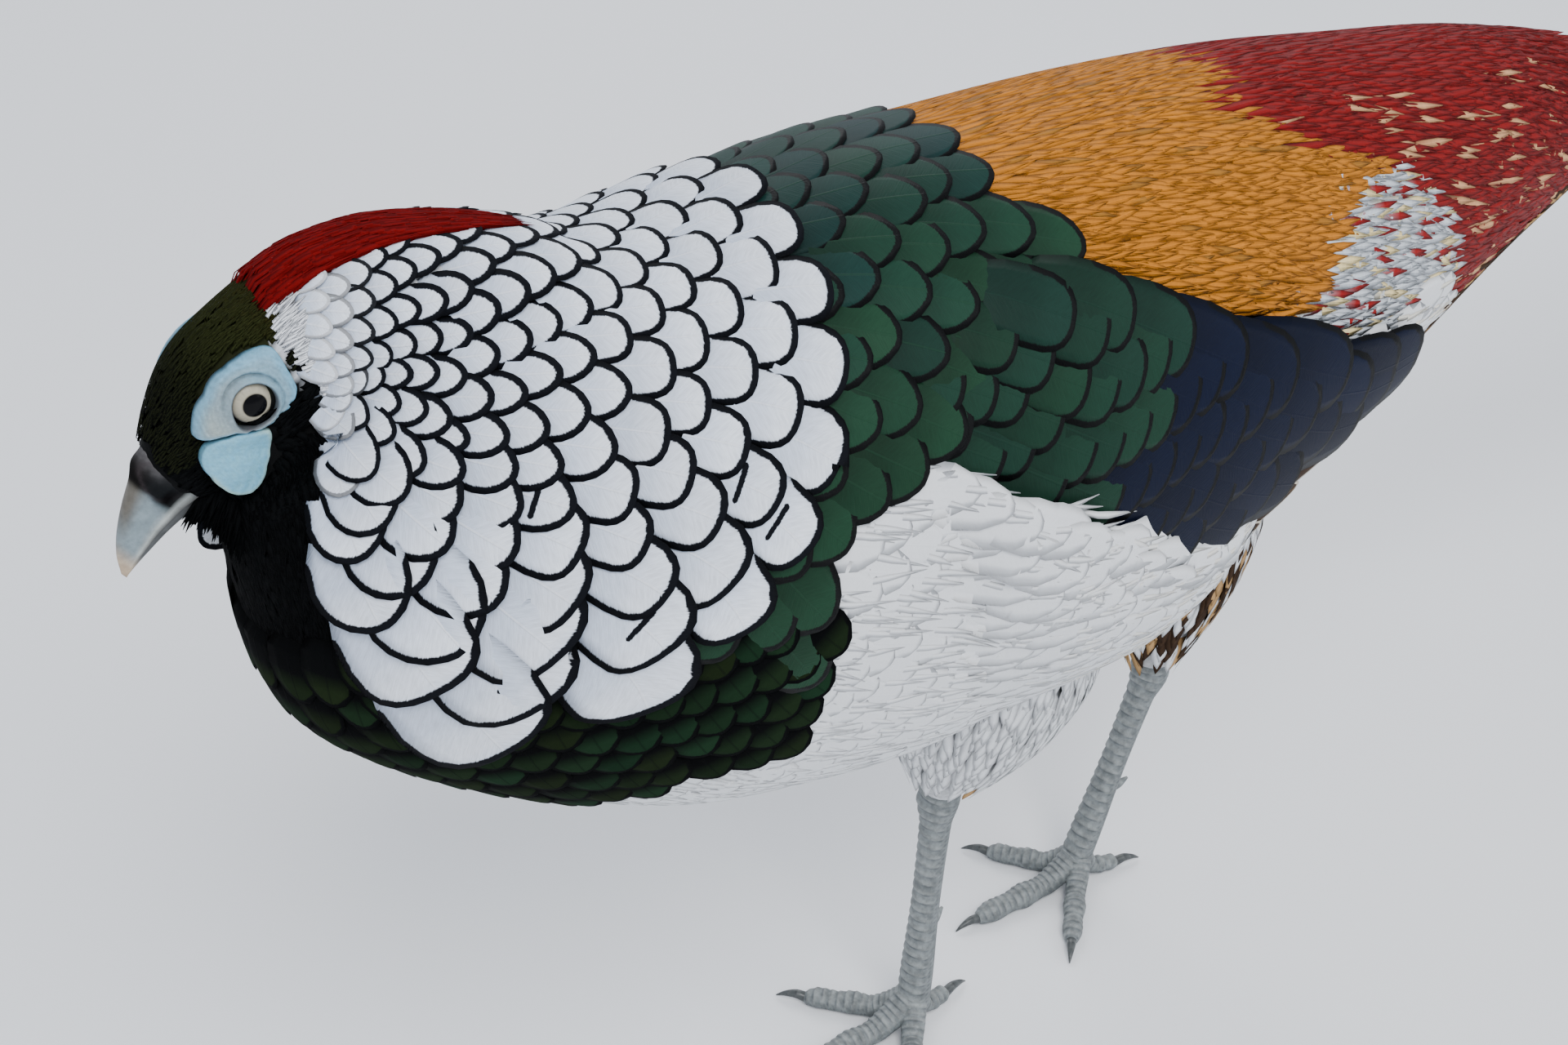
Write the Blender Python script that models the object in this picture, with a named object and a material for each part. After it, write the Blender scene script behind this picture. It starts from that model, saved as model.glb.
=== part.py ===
"""A male Lady Amherst's pheasant, life size, walking, as a still model in separate solids.

Metres, +Z up, +X towards the bill, +Y to the bird's left. The bird is laid out with its feet about
the point (0, 0, 0) on the floor, and the whole model is then moved so that the middle of its own
bounding box lies over the origin.
"""

import math
import random

import bmesh
import bpy
import numpy as np
from mathutils import Matrix, Vector

GAP = 0.0003  # between touching solids
SEED = 11

# Trunk from the tail root to the throat: x, z of the spine, tilt in degrees, half width, height above
# and depth below the spine.
TRUNK = (
    (-0.196, 0.254, -3, 0.022, 0.024, 0.022),
    (-0.150, 0.251, -3, 0.034, 0.036, 0.035),
    (-0.100, 0.243, -2, 0.046, 0.049, 0.051),
    (-0.045, 0.232, 0, 0.058, 0.064, 0.074),
    (0.015, 0.221, 2, 0.066, 0.075, 0.092),
    (0.070, 0.215, 3, 0.069, 0.079, 0.093),
    (0.118, 0.217, 9, 0.069, 0.0725, 0.087),
    (0.154, 0.227, 22, 0.065, 0.062, 0.079),
    (0.182, 0.242, 36, 0.055, 0.0545, 0.072),
    (0.202, 0.256, 45, 0.040, 0.048, 0.049),
    (0.217, 0.268, 48, 0.023, 0.034, 0.030),
)
TRUNK_RINGS = 22
TRUNK_SIDES = 28

# Head, along the line from the crown's back to the bill: distance along it from the eye, top, bottom
# and half width.
HEAD_CENTRE = Vector((0.231, 0, 0.272))
HEAD_PITCH = 40.8  # degrees that the bill points below the horizontal
HEAD = (
    (-0.038, 0.002, -0.018, 0.0130),
    (-0.028, 0.007, -0.022, 0.0160),
    (-0.018, 0.0115, -0.022, 0.0165),
    (-0.008, 0.0135, -0.021, 0.0160),
    (0.000, 0.0145, -0.019, 0.0150),
    (0.007, 0.0140, -0.017, 0.0130),
    (0.015, 0.0110, -0.015, 0.0100),
    (0.0235, 0.0062, -0.0108, 0.0064),
)
HEAD_SIDES = 20
HEAD_RINGS = 11

# Where the trunk is parted: a point on the spine (x, z) and the tilt of the cut in degrees.
HEAD_CUT = (0.212, 0.264, 47)
NECK_CUT = (0.140, 0.222, 16)
TAIL_CUT = (-0.165, 0.252, 0)

EYE_PLACE = Vector((0.233, 0.0098, 0.274))
EYE_RADIUS = 0.0062
EYE_OPENING = 0.0047  # radius of the opening between the lids
LID_RADIUS = 0.0076
FACE_BLOCK = 0.12  # side of the block that cuts the face's lobes flush with the neck
SOCKET_ROOM = 0.0005  # between the eyeball and its socket, so that facets stay apart
FACE_LOBES = (  # along, out and up, then half sizes, of the bare skin round the eye, the lappet and the chin
    ((0.0010, 0.0105, 0.0022), (0.0128, 0.0048, 0.0092)),
    ((0.0120, 0.0085, -0.0052), (0.0078, 0.0052, 0.0062)),
    ((0.0125, 0.0030, -0.0120), (0.0105, 0.0070, 0.0085)),
)

# Bill: distance along the head's line, culmen, mouth line, lower edge, half width.
BILL = (
    (0.0238, 0.0060, -0.0076, -0.0112, 0.0056),
    (0.0280, 0.0042, -0.0070, -0.0107, 0.0049),
    (0.0340, 0.0014, -0.0072, -0.0101, 0.0039),
    (0.0400, -0.0022, -0.0083, -0.0100, 0.0027),
    (0.0440, -0.0056, -0.0094, -0.0102, 0.0015),
    (0.0465, -0.0088, -0.0102, None, 0.0005),
)
BILL_ARC = 6  # facets over the bill
LOWER_SHARE = 0.86  # width of the lower bill against the upper
NOSTRIL = ((0.0285, 0.0045, -0.0010), (0.0022, 0.0012, 0.0009))

# Folded wing over the trunk's side: u at its front and rear, then the turns in degrees of its upper and
# lower edges at shares of its length, and its depth.
WING_SPAN = (0.69, 0.30)
WING_UPPER = ((0.0, 60), (0.14, 52), (0.30, 50), (0.44, 62), (0.68, 82), (0.87, 92), (1.0, 99))
WING_LOWER = (
    (0.0, 68),
    (0.11, 80),
    (0.28, 92),
    (0.40, 104),
    (0.52, 114),
    (0.68, 119),
    (0.84, 114),
    (1.0, 105),
)
WING_ROWS = 13
WING_COLUMNS = 7
WING_GAP = 0.0010
WING_DEPTH = 0.0055
WING_EDGE = 0.0016
WING_BEVEL = 0.28
WING_TIERS = (  # share along, length of its feathers, lean in degrees
    (0.10, 0.030, 14),
    (0.20, 0.031, 16),
    (0.31, 0.033, 18),
    (0.42, 0.036, 20),
    (0.53, 0.040, 20),
    (0.64, 0.044, 16),
    (0.76, 0.046, 4),
)
WING_PITCH = 0.017  # between tiers
WING_SPACING = 0.0145  # between feathers of a tier

# Feathers: thickness, depth of the root under the skin, clearance over it, room between one row and the
# next, and half width against the distance between neighbours.
VANE = 0.0008
VANE_SINK = 0.0016
VANE_CLEAR = 0.0009
VANE_APART = 0.0004
VANE_SHARE = 0.47
VANE_STEPS = 12  # of the walk along the skin that lays a feather
SCALE_SHARES = (0.0, 0.34, 0.78, 1.0)  # along a scale-like feather
SCALE_WIDTHS = (0.55, 0.92, 1.0, 0.42)

# Cape: the turns and u of its rear edge, then for each row its distance from that edge, the distance to
# the row before it and how many feathers it has.
CAPE_EDGE = ((0, 0.727), (34, 0.733), (62, 0.762), (88, 0.798), (104, 0.826), (120, 0.872), (130, 0.915))
CAPE_ROWS = (
    (0.000, 0.018, 14),
    (0.018, 0.018, 14),
    (0.036, 0.017, 12),
    (0.053, 0.016, 11),
    (0.069, 0.015, 10),
)
CAPE_FRONT = 0.965  # no root lies past this u
CAPE_OVERLAP = 2.0  # length of a feather against the distance between rows
CAPE_REACH = 126  # degrees from the back to the last feather of each side
CAPE_LEAN = 22
CREST_CLEAR = 24  # degrees about the nape that the cape's front rows leave to the crest
CREST_ROWS = 3  # rows of the cape that run under the crest's end

# Crest: the line that its feathers follow from the crown over the nape, x and z.
CREST_LINE = ((0.2270, 0.2905), (0.2140, 0.2975), (0.2000, 0.3000), (0.1865, 0.2985), (0.1740, 0.2960))
CREST_WIDTHS = (0.6, 1.0, 0.95, 0.7, 0.2)
CREST_HALF = 0.0016
CREST_PLACES = (-0.0074, -0.0037, 0.0, 0.0037, 0.0074)
CREST_GATHER = 0.45  # how far its feathers draw together towards their tips
CREST_BEND = 22.0  # fall of the outer feathers, for each metre squared of their distance from the middle
CREST_ROLL = 50.0  # radians that a feather leans outward for each metre of that distance
CREST_VANE = 0.0007

# Legs: hip inside the trunk, hock and ankle.
LEGS = {
    "left": (Vector((0.0264, 0.0270, 0.190)), Vector((0.0426, 0.013, 0.0905)), Vector((0.0446, 0.012, 0.016))),
    "right": (
        Vector((-0.0712, -0.0215, 0.205)),
        Vector((-0.0666, -0.013, 0.0795)),
        Vector((-0.0446, -0.012, 0.016)),
    ),
}
THIGH_GAP = 0.0004
THIGH_SHARES = (0.0, 0.48, 0.66, 0.81, 0.925, 1.0)
THIGH_RADII = (0.020, 0.029, 0.025, 0.0175, 0.0105, 0.0064)
THIGH_SIDES = 14
TARSUS_RADII = (0.0056, 0.0062, 0.0046, 0.0042, 0.0050, 0.0050)  # from above the hock to below the ankle
TARSUS_ENDS = (0.008, 0.006)  # how far it runs on past hock and ankle before it is cut
TARSUS_NECK = 0.010  # from the hock down to where it is slim
TARSUS_SIDES = 12
SHANK_END = 0.003  # how far the thigh stops short of the hock
SPUR_PLACE = 0.68  # share of the way down the tarsus
SPUR_LINE = ((0.0, 0.0, 0.0), (-0.005, -0.001, 0.0), (-0.009, -0.002, 0.002))
SPUR_RADII = (0.0026, 0.0018, 0.0006)
SPUR_SIDES = 8
PALM_RADIUS = 0.0075
PALM_DROP = 0.006  # of the foot's ball under the ankle
TOES = (  # name, heading in degrees from forward towards the bird's outer side, length, root radius
    ("inner", -52, 0.031, 0.0036),
    ("middle", 0, 0.043, 0.0040),
    ("outer", 46, 0.034, 0.0036),
    ("hind", 170, 0.015, 0.0030),
)
TOE_STATIONS = (  # share of the length, swelling of the pads, height of the middle
    (0.00, 1.15, 0.0095),
    (0.22, 1.05, 0.0058),
    (0.42, 0.90, 0.0031),
    (0.56, 1.04, 0.0030),
    (0.72, 0.86, 0.0027),
    (0.88, 0.92, 0.0026),
    (1.00, 0.62, 0.0022),
)
TOE_SIDES = 8
CLAW_STATIONS = ((0.0, 0.0, 1.0), (0.35, 0.0007, 0.84), (0.7, 0.0001, 0.52), (1.0, -0.0013, 0.12))
CLAW_SIDES = 6
CLAW_LENGTH = 0.010
CLAW_RADIUS = 0.0017
CLAW_FLOOR = 0.0001  # height at which its underside is flat

TAIL_PAIRS = (  # length, half width and distance of the shaft from the midline, and depth below the top
    (0.930, 0.0245, 0.0060, 0.0),
    (0.600, 0.0190, 0.0205, 0.0042),
    (0.500, 0.0180, 0.0205, 0.0056),
    (0.420, 0.0175, 0.0208, 0.0070),
    (0.350, 0.0170, 0.0210, 0.0084),
    (0.290, 0.0165, 0.0212, 0.0098),
    (0.240, 0.0160, 0.0214, 0.0112),
    (0.205, 0.0155, 0.0216, 0.0126),
    (0.180, 0.0150, 0.0218, 0.0140),
)
TAIL_SHARES = (0.0, 0.07, 0.20, 0.42, 0.66, 0.86, 1.0)
TAIL_WIDTHS = (0.35, 0.78, 1.0, 0.98, 0.80, 0.46, 0.07)
TAIL_VANE = 0.0008
TAIL_UNDER = 0.0015  # the right long feather lies this far under the left one
TAIL_ROLL = 0.06  # fall of each side feather's outer edge
TAIL_ROOT = Vector((-0.200, 0, 0.266))
TAIL_DROOP = 0.085  # how far the long pair's tips hang below their roots
TAIL_CONE = (  # x, z, half width, half height of the fleshy tail root
    (-0.1900, 0.2545, 0.0235, 0.0235),
    (-0.2050, 0.2560, 0.0210, 0.0180),
    (-0.2250, 0.2575, 0.0190, 0.0120),
    (-0.2450, 0.2585, 0.0140, 0.0060),
)
TAIL_CONE_SIDES = 14
TAIL_SPREAD = (0.3, 0.10)  # share of the shafts' distance at the root, and how far back it is whole
TAIL_CURVE = 1.7  # power of the droop
COVERT_ROOTS = (Vector((0.016, 0, 0.004)), Vector((0.012, 0, -0.026)))  # above and below, from TAIL_ROOT
COVERT_GATHER = 0.5  # distance of their roots from the midline against that of their tips
COVERTS_OVER = (  # distance from the midline, length, half width, height over the tail
    (0.0, 0.095, 0.0100, 0.0052),
    (0.0125, 0.120, 0.0085, 0.0038),
    (0.0240, 0.150, 0.0070, 0.0022),
)
COVERTS_UNDER = (
    (0.0, 0.085, 0.0110, 0.0030),
    (0.0150, 0.070, 0.0090, 0.0016),
)
COVERT_SHARES = (0.0, 0.25, 0.6, 1.0)
COVERT_WIDTHS = (0.8, 1.0, 0.8, 0.12)

COLOURS = {
    "head": (0.02, 0.03, 0.01),
    "bill": (0.18, 0.20, 0.20),
    "eye": (0.6, 0.58, 0.5),
    "neck": (0.7, 0.72, 0.76),
    "torso": (0.05, 0.15, 0.08),
    "wing": (0.02, 0.05, 0.12),
    "tail": (0.45, 0.44, 0.42),
    "thigh": (0.45, 0.38, 0.28),
    "tarsus": (0.17, 0.2, 0.21),
    "foot": (0.15, 0.18, 0.19),
    "claw": (0.05, 0.045, 0.04),
}
ROUGHNESS = {"bill": 0.35, "eye": 0.1, "claw": 0.4}


def slopes_of(places, values):
    """Slopes of a monotone cubic through the values, so that no swelling appears between stations."""
    steps = np.diff(places)
    rises = np.diff(values, axis=0) / steps[:, None]
    slopes = np.zeros_like(values)
    slopes[0] = rises[0]
    slopes[-1] = rises[-1]
    for i in range(1, len(places) - 1):
        before, after = rises[i - 1], rises[i]
        weight = 1.0 / np.where(before == 0, 1, before) + 1.0 / np.where(after == 0, 1, after)
        slopes[i] = np.where(before * after > 0, 2.0 / np.where(weight == 0, 1, weight), 0)
    return slopes


class Stations:
    """Rows of numbers along a body, read smoothly anywhere between 0 at the first row and 1 at the last."""

    def __init__(self, rows, along):
        self.rows = np.array(rows, float)
        self.places = np.array(along, float) / along[-1]
        self.slopes = slopes_of(self.places, self.rows)

    def at(self, u):
        u = min(max(u, 0.0), 1.0)
        i = min(int(np.searchsorted(self.places, u, side="right")) - 1, len(self.places) - 2)
        width = self.places[i + 1] - self.places[i]
        t = (u - self.places[i]) / width
        start = (1 + 2 * t) * (1 - t) ** 2 * self.rows[i] + t * (1 - t) ** 2 * width * self.slopes[i]
        end = t * t * (3 - 2 * t) * self.rows[i + 1] - t * t * (1 - t) * width * self.slopes[i + 1]
        return start + end


def trunk_stations():
    spine = np.array([row[:2] for row in TRUNK])
    lengths = np.linalg.norm(np.diff(spine, axis=0), axis=1)
    return Stations(TRUNK, [0.0, *np.cumsum(lengths)])


TRUNK_ROWS = trunk_stations()


def trunk_ring_point(u, turn):
    """A point of the trunk's skin: u runs from tail root to throat, turn from the back round by the left."""
    x, z, tilt, half, up, down = TRUNK_ROWS.at(u)
    tilt = math.radians(tilt)
    rise = (up if math.cos(turn) > 0 else down) * math.cos(turn)
    return Vector((x - math.sin(tilt) * rise, half * math.sin(turn), z + math.cos(tilt) * rise))


def trunk_frame(u, turn):
    """The point at (u, turn), its outward normal, and the lengths of skin for one unit of u and of turn."""
    small = 0.004
    u = min(max(u, 0.0), 1.0)
    low, high = max(u - small, 0.0), min(u + small, 1.0)
    along = (trunk_ring_point(high, turn) - trunk_ring_point(low, turn)) / (high - low)
    around = (trunk_ring_point(u, turn + small) - trunk_ring_point(u, turn - small)) / (2 * small)
    normal = along.cross(around).normalized()
    return trunk_ring_point(u, turn), normal, along.length, around.length


def trunk_point(u, turn, lift=0.0):
    point, normal, _, _ = trunk_frame(u, turn)
    return point + normal * lift


def head_axes():
    pitch = math.radians(HEAD_PITCH)
    forward = Vector((math.cos(pitch), 0, -math.sin(pitch)))
    return forward, Vector((math.sin(pitch), 0, math.cos(pitch)))


def on_head(along, side, up):
    forward, upward = head_axes()
    return HEAD_CENTRE + forward * along + upward * up + Vector((0, side, 0))


def head_matrix(place, half_sizes, side=1):
    """Turns a unit sphere into an ellipsoid set in the head's own directions."""
    forward, upward = head_axes()
    turn = Matrix((forward, Vector((0, 1, 0)), upward)).transposed().to_4x4()
    centre = on_head(place[0], place[1] * side, place[2])
    return Matrix.Translation(centre) @ turn @ Matrix.Diagonal((*half_sizes, 1))


def tube_mesh(rings):
    """Triangles of a closed tube through rings of points, each ring with the same number of points."""
    count = len(rings[0])
    points = [point for ring in rings for point in ring]
    faces = []
    for i in range(len(rings) - 1):
        for j in range(count):
            here, beside = i * count + j, i * count + (j + 1) % count
            faces.append((here, beside, beside + count))
            faces.append((here, beside + count, here + count))
    for ring, first in ((rings[0], 0), (rings[-1], (len(rings) - 1) * count)):
        middle = sum(ring, Vector()) / count
        points.append(middle)
        centre = len(points) - 1
        for j in range(count):
            edge = (first + j, first + (j + 1) % count)
            faces.append((centre, edge[1], edge[0]) if first == 0 else (centre, *edge))
    return points, faces


def add_object(name, points, faces, collection):
    mesh = bpy.data.meshes.new(name)
    mesh.from_pydata([tuple(point) for point in points], [], faces)
    made = bpy.data.objects.new(name, mesh)
    collection.objects.link(made)
    face_outward(made)
    return made


def face_outward(made):
    shape = bmesh.new()
    shape.from_mesh(made.data)
    bmesh.ops.recalc_face_normals(shape, faces=shape.faces)
    if shape.calc_volume(signed=True) < 0:
        bmesh.ops.reverse_faces(shape, faces=shape.faces)
    shape.to_mesh(made.data)
    shape.free()


def add_ball(name, matrix, collection, columns, rows):
    """A unit ball moved by the matrix."""
    shape = bmesh.new()
    bmesh.ops.create_uvsphere(shape, u_segments=columns, v_segments=rows, radius=1.0, matrix=matrix)
    bmesh.ops.triangulate(shape, faces=shape.faces)
    mesh = bpy.data.meshes.new(name)
    shape.to_mesh(mesh)
    shape.free()
    made = bpy.data.objects.new(name, mesh)
    collection.objects.link(made)
    face_outward(made)
    return made


def add_block(place, heading, size, collection):
    """A cube whose one face lies on the plane at place and which reaches size along heading."""
    shape = bmesh.new()
    turn = heading.to_track_quat("Z", "Y").to_matrix().to_4x4()
    bmesh.ops.create_cube(shape, size=size, matrix=Matrix.Translation(place + heading * (size / 2)) @ turn)
    bmesh.ops.triangulate(shape, faces=shape.faces)
    mesh = bpy.data.meshes.new("block")
    shape.to_mesh(mesh)
    shape.free()
    made = bpy.data.objects.new("block", mesh)
    collection.objects.link(made)
    face_outward(made)
    return made


def add_rod(name, start, end, radius, collection, sides):
    shape = bmesh.new()
    axis = end - start
    turn = axis.to_track_quat("Z", "Y").to_matrix().to_4x4()
    place = Matrix.Translation((start + end) / 2) @ turn
    bmesh.ops.create_cone(
        shape, cap_ends=True, segments=sides, radius1=radius, radius2=radius, depth=axis.length, matrix=place
    )
    bmesh.ops.triangulate(shape, faces=shape.faces)
    mesh = bpy.data.meshes.new(name)
    shape.to_mesh(mesh)
    shape.free()
    made = bpy.data.objects.new(name, mesh)
    collection.objects.link(made)
    face_outward(made)
    return made


def add_limb(name, centres, radii, sides, collection, flat=1.0):
    """A round tube through the centres, its rings square to the path; flat squeezes it from top to bottom."""
    rings = []
    for i, centre in enumerate(centres):
        heading = (centres[min(i + 1, len(centres) - 1)] - centres[max(i - 1, 0)]).normalized()
        side = heading.cross(Vector((0, 0, 1)))
        if side.length < 0.3:
            side = Vector((0, 1, 0))
        side.normalize()
        up = side.cross(heading).normalized()
        ring = []
        for j in range(sides):
            turn = 2 * math.pi * j / sides
            ring.append(centre + side * (radii[i] * math.sin(turn)) + up * (radii[i] * flat * math.cos(turn)))
        rings.append(ring)
    return add_object(name, *tube_mesh(rings), collection)


def apply_modifiers(made):
    graph = bpy.context.evaluated_depsgraph_get()
    graph.update()
    shape = bpy.data.meshes.new_from_object(made.evaluated_get(graph))
    made.modifiers.clear()
    old = made.data
    made.data = shape
    bpy.data.meshes.remove(old)


def keep_largest(made):
    """Leaves only the closed surface that holds the most."""
    shape = bmesh.new()
    shape.from_mesh(made.data)
    left = set(shape.faces)
    bodies = []
    while left:
        stack = [left.pop()]
        body = list(stack)
        while stack:
            for edge in stack.pop().edges:
                for other in edge.link_faces:
                    if other in left:
                        left.remove(other)
                        stack.append(other)
                        body.append(other)
        bodies.append(body)
    sizes = []
    for body in bodies:
        total = 0.0
        for face in body:
            corners = [vert.co for vert in face.verts]
            for k in range(1, len(corners) - 1):
                total += corners[0].dot(corners[k].cross(corners[k + 1])) / 6
        sizes.append(total)
    best = sizes.index(max(sizes))
    lost = [face for i, body in enumerate(bodies) if i != best for face in body]
    bmesh.ops.delete(shape, geom=lost, context="FACES")
    shape.to_mesh(made.data)
    shape.free()


def remove(objects):
    for made in objects:
        mesh = made.data
        bpy.data.objects.remove(made)
        bpy.data.meshes.remove(mesh)


def combine(target, pieces, operation):
    """Joins the pieces to the target, or cuts them from it, in one Boolean, and clears them away."""
    if not pieces:
        return
    group = bpy.data.collections.new("pieces")
    bpy.context.scene.collection.children.link(group)
    for piece in pieces:
        group.objects.link(piece)
    modifier = target.modifiers.new(operation.lower(), "BOOLEAN")
    modifier.operation = operation
    modifier.operand_type = "COLLECTION"
    modifier.collection = group
    modifier.solver = "MANIFOLD"
    apply_modifiers(target)
    remove(pieces)
    bpy.data.collections.remove(group)
    keep_largest(target)


def part_off(made, place, normal):
    """Cuts away what lies behind a plane and closes the cut."""
    shape = bmesh.new()
    shape.from_mesh(made.data)
    geometry = list(shape.verts) + list(shape.edges) + list(shape.faces)
    bmesh.ops.bisect_plane(shape, geom=geometry, plane_co=place, plane_no=normal, clear_inner=True)
    rim = [edge for edge in shape.edges if edge.is_boundary]
    bmesh.ops.holes_fill(shape, edges=rim)
    bmesh.ops.triangulate(shape, faces=shape.faces)
    shape.to_mesh(made.data)
    shape.free()


def copy_of(made, name, collection):
    other = made.copy()
    other.data = made.data.copy()
    other.name = name
    collection.objects.link(other)
    return other


def cut_plane(cut):
    x, z, tilt = cut
    tilt = math.radians(tilt)
    return Vector((x, 0, z)), Vector((math.cos(tilt), 0, math.sin(tilt)))


def keep_ahead(made, cut):
    place, normal = cut_plane(cut)
    part_off(made, place + normal * (GAP / 2), normal)


def keep_behind(made, cut):
    place, normal = cut_plane(cut)
    part_off(made, place - normal * (GAP / 2), -normal)


def ring_ends(count):
    return [i / (count - 1) for i in range(count)]


def trunk_mesh(lift=0.0):
    rings = []
    for u in ring_ends(TRUNK_RINGS):
        turns = [2 * math.pi * j / TRUNK_SIDES for j in range(TRUNK_SIDES)]
        rings.append([trunk_point(u, turn, lift) for turn in turns])
    return tube_mesh(rings)


def head_mesh():
    along = [row[0] for row in HEAD]
    rows = Stations(HEAD, [place - along[0] for place in along])
    rings = []
    for u in ring_ends(HEAD_RINGS):
        place, top, bottom, half = rows.at(u)
        middle, tall = (top + bottom) / 2, (top - bottom) / 2
        turns = [2 * math.pi * j / HEAD_SIDES for j in range(HEAD_SIDES)]
        rings.append([on_head(place, half * math.sin(t), middle + tall * math.cos(t)) for t in turns])
    return tube_mesh(rings)


def build_body(birds, helpers):
    """The trunk and head as one form, parted into head, neck, torso and the root of the tail."""
    whole = add_object("whole", *trunk_mesh(), helpers)
    combine(whole, [add_object("skull", *head_mesh(), helpers)], "UNION")
    head = copy_of(whole, "head", birds)
    neck = copy_of(whole, "neck", birds)
    torso = copy_of(whole, "torso", birds)
    tail = copy_of(whole, "tail", birds)
    keep_ahead(head, HEAD_CUT)
    keep_behind(neck, HEAD_CUT)
    keep_ahead(neck, NECK_CUT)
    keep_behind(torso, NECK_CUT)
    keep_ahead(torso, TAIL_CUT)
    keep_behind(tail, TAIL_CUT)
    remove([whole])
    for made in (head, neck, torso, tail):
        keep_largest(made)
    return head, neck, torso, tail


def build_face(head, helpers):
    """Bare skin, lids and eye sockets on both sides of the head."""
    added, cut = [], []
    for side in (1, -1):
        eye = Vector((EYE_PLACE.x, EYE_PLACE.y * side, EYE_PLACE.z))
        outward = Vector((0, side, 0))
        for place, half_sizes in FACE_LOBES:
            added.append(add_ball("lobe", head_matrix(place, half_sizes, side), helpers, 12, 6))
        lid = Matrix.Translation(eye) @ Matrix.Scale(LID_RADIUS, 4)
        added.append(add_ball("lid", lid, helpers, 14, 8))
        socket = Matrix.Translation(eye) @ Matrix.Scale(EYE_RADIUS + SOCKET_ROOM, 4)
        cut.append(add_ball("socket", socket, helpers, 12, 8))
        cut.append(add_rod("opening", eye, eye + outward * 0.02, EYE_OPENING, helpers, 14))
    combine(head, added, "UNION")
    place, normal = cut_plane(HEAD_CUT)
    cut.append(add_block(place + normal * (GAP / 2), -normal, FACE_BLOCK, helpers))
    combine(head, cut, "DIFFERENCE")


def build_eyes(birds):
    for side, word in ((1, "left"), (-1, "right")):
        place = Vector((EYE_PLACE.x, EYE_PLACE.y * side, EYE_PLACE.z))
        turn = Matrix.Rotation(math.radians(90), 4, "X")
        matrix = Matrix.Translation(place) @ turn @ Matrix.Scale(EYE_RADIUS, 4)
        add_ball("eye_" + word, matrix, birds, 14, 8)


def bill_ring(along, edge, crown, half):
    """A ring of the bill: flat along the mouth line at edge, arched over to crown."""
    ring = []
    for i in range(BILL_ARC + 1):
        turn = math.pi * i / BILL_ARC
        ring.append(on_head(along, half * math.cos(turn), edge + (crown - edge) * math.sin(turn)))
    return ring


def build_bill(birds, helpers):
    upper = [bill_ring(row[0], row[2], row[1], row[4]) for row in BILL]
    lower = []
    for along, _, mouth, under, half in BILL:
        if under is not None:
            lower.append(bill_ring(along, mouth - GAP, under - GAP, half * LOWER_SHARE))
    top = add_object("bill_upper", *tube_mesh(upper), birds)
    add_object("bill_lower", *tube_mesh(lower), birds)
    place, half_sizes = NOSTRIL
    nostrils = [add_ball("nostril", head_matrix(place, half_sizes, side), helpers, 10, 6) for side in (1, -1)]
    combine(top, nostrils, "DIFFERENCE")


def between(pairs, place):
    """Reads a list of (place, value) pairs, straight from one to the next."""
    return float(np.interp(place, [pair[0] for pair in pairs], [pair[1] for pair in pairs]))


def wing_place(along, across):
    """u and turn of a place on the folded wing: along from front to rear, across from upper to lower edge."""
    u = WING_SPAN[0] + (WING_SPAN[1] - WING_SPAN[0]) * along
    upper, lower = between(WING_UPPER, along), between(WING_LOWER, along)
    return u, math.radians(upper + (lower - upper) * across)


def wing_lift(u, turn):
    """Height of the wing's outside over the trunk: full in the middle, thin at its edges and beyond them."""
    along = (u - WING_SPAN[0]) / (WING_SPAN[1] - WING_SPAN[0])
    upper, lower = between(WING_UPPER, along), between(WING_LOWER, along)
    across = (math.degrees(turn) - upper) / (lower - upper)
    edge = max(0.0, min(across, 1 - across, along, 1 - along))
    return WING_GAP + WING_EDGE + (WING_DEPTH - WING_EDGE) * min(1.0, edge / WING_BEVEL)


def vane_mesh(name, centres, sides, ups, halves, thick, helpers):
    """A flat closed feather through the centres; both its faces are split alike."""
    rings = []
    for centre, side, up, half in zip(centres, sides, ups, halves):
        across, over = side * half, up * (thick / 2)
        corners = (across + over, over - across, -across - over, across - over)
        rings.append([centre + corner for corner in corners])
    return add_object(name, *vane_faces(rings), helpers)


def vane_faces(rings):
    points = [point for ring in rings for point in ring]
    faces = [(0, 1, 2), (0, 2, 3)]
    last = len(points) - 4
    faces += [(last + 2, last + 1, last), (last + 3, last + 2, last)]
    for i in range(len(rings) - 1):
        a, b = 4 * i, 4 * i + 4
        faces += [(a, b, b + 1), (a, b + 1, a + 1)]
        faces += [(a + 3, b + 2, b + 3), (a + 3, a + 2, b + 2)]
        faces += [(a + 1, b + 1, b + 2), (a + 1, b + 2, a + 2)]
        faces += [(a + 3, b + 3, b), (a + 3, b, a)]
    return points, faces


def skin_path(u, turn, length, lean):
    """Places on the trunk from (u, turn) towards the tail, leaning down the side.

    A negative length runs forward.
    """
    down = 1 if turn > 0 else -1
    step = length / VANE_STEPS
    path = [(u, turn)]
    for _ in range(VANE_STEPS):
        _, _, per_u, per_turn = trunk_frame(u, turn)
        u -= step * math.cos(lean) / per_u
        turn += down * step * math.sin(lean) / per_turn
        path.append((u, turn))
    return path


def lifted_frame(u, turn, lift):
    """The point and outward normal of what lies over the trunk by lift(u, turn)."""
    small_u, small_turn = 0.006, 0.02
    along = trunk_point(u + small_u, turn, lift(u + small_u, turn))
    along = along - trunk_point(u - small_u, turn, lift(u - small_u, turn))
    around = trunk_point(u, turn + small_turn, lift(u, turn + small_turn))
    around = around - trunk_point(u, turn - small_turn, lift(u, turn - small_turn))
    return trunk_point(u, turn, lift(u, turn)), along.cross(around).normalized()


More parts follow.
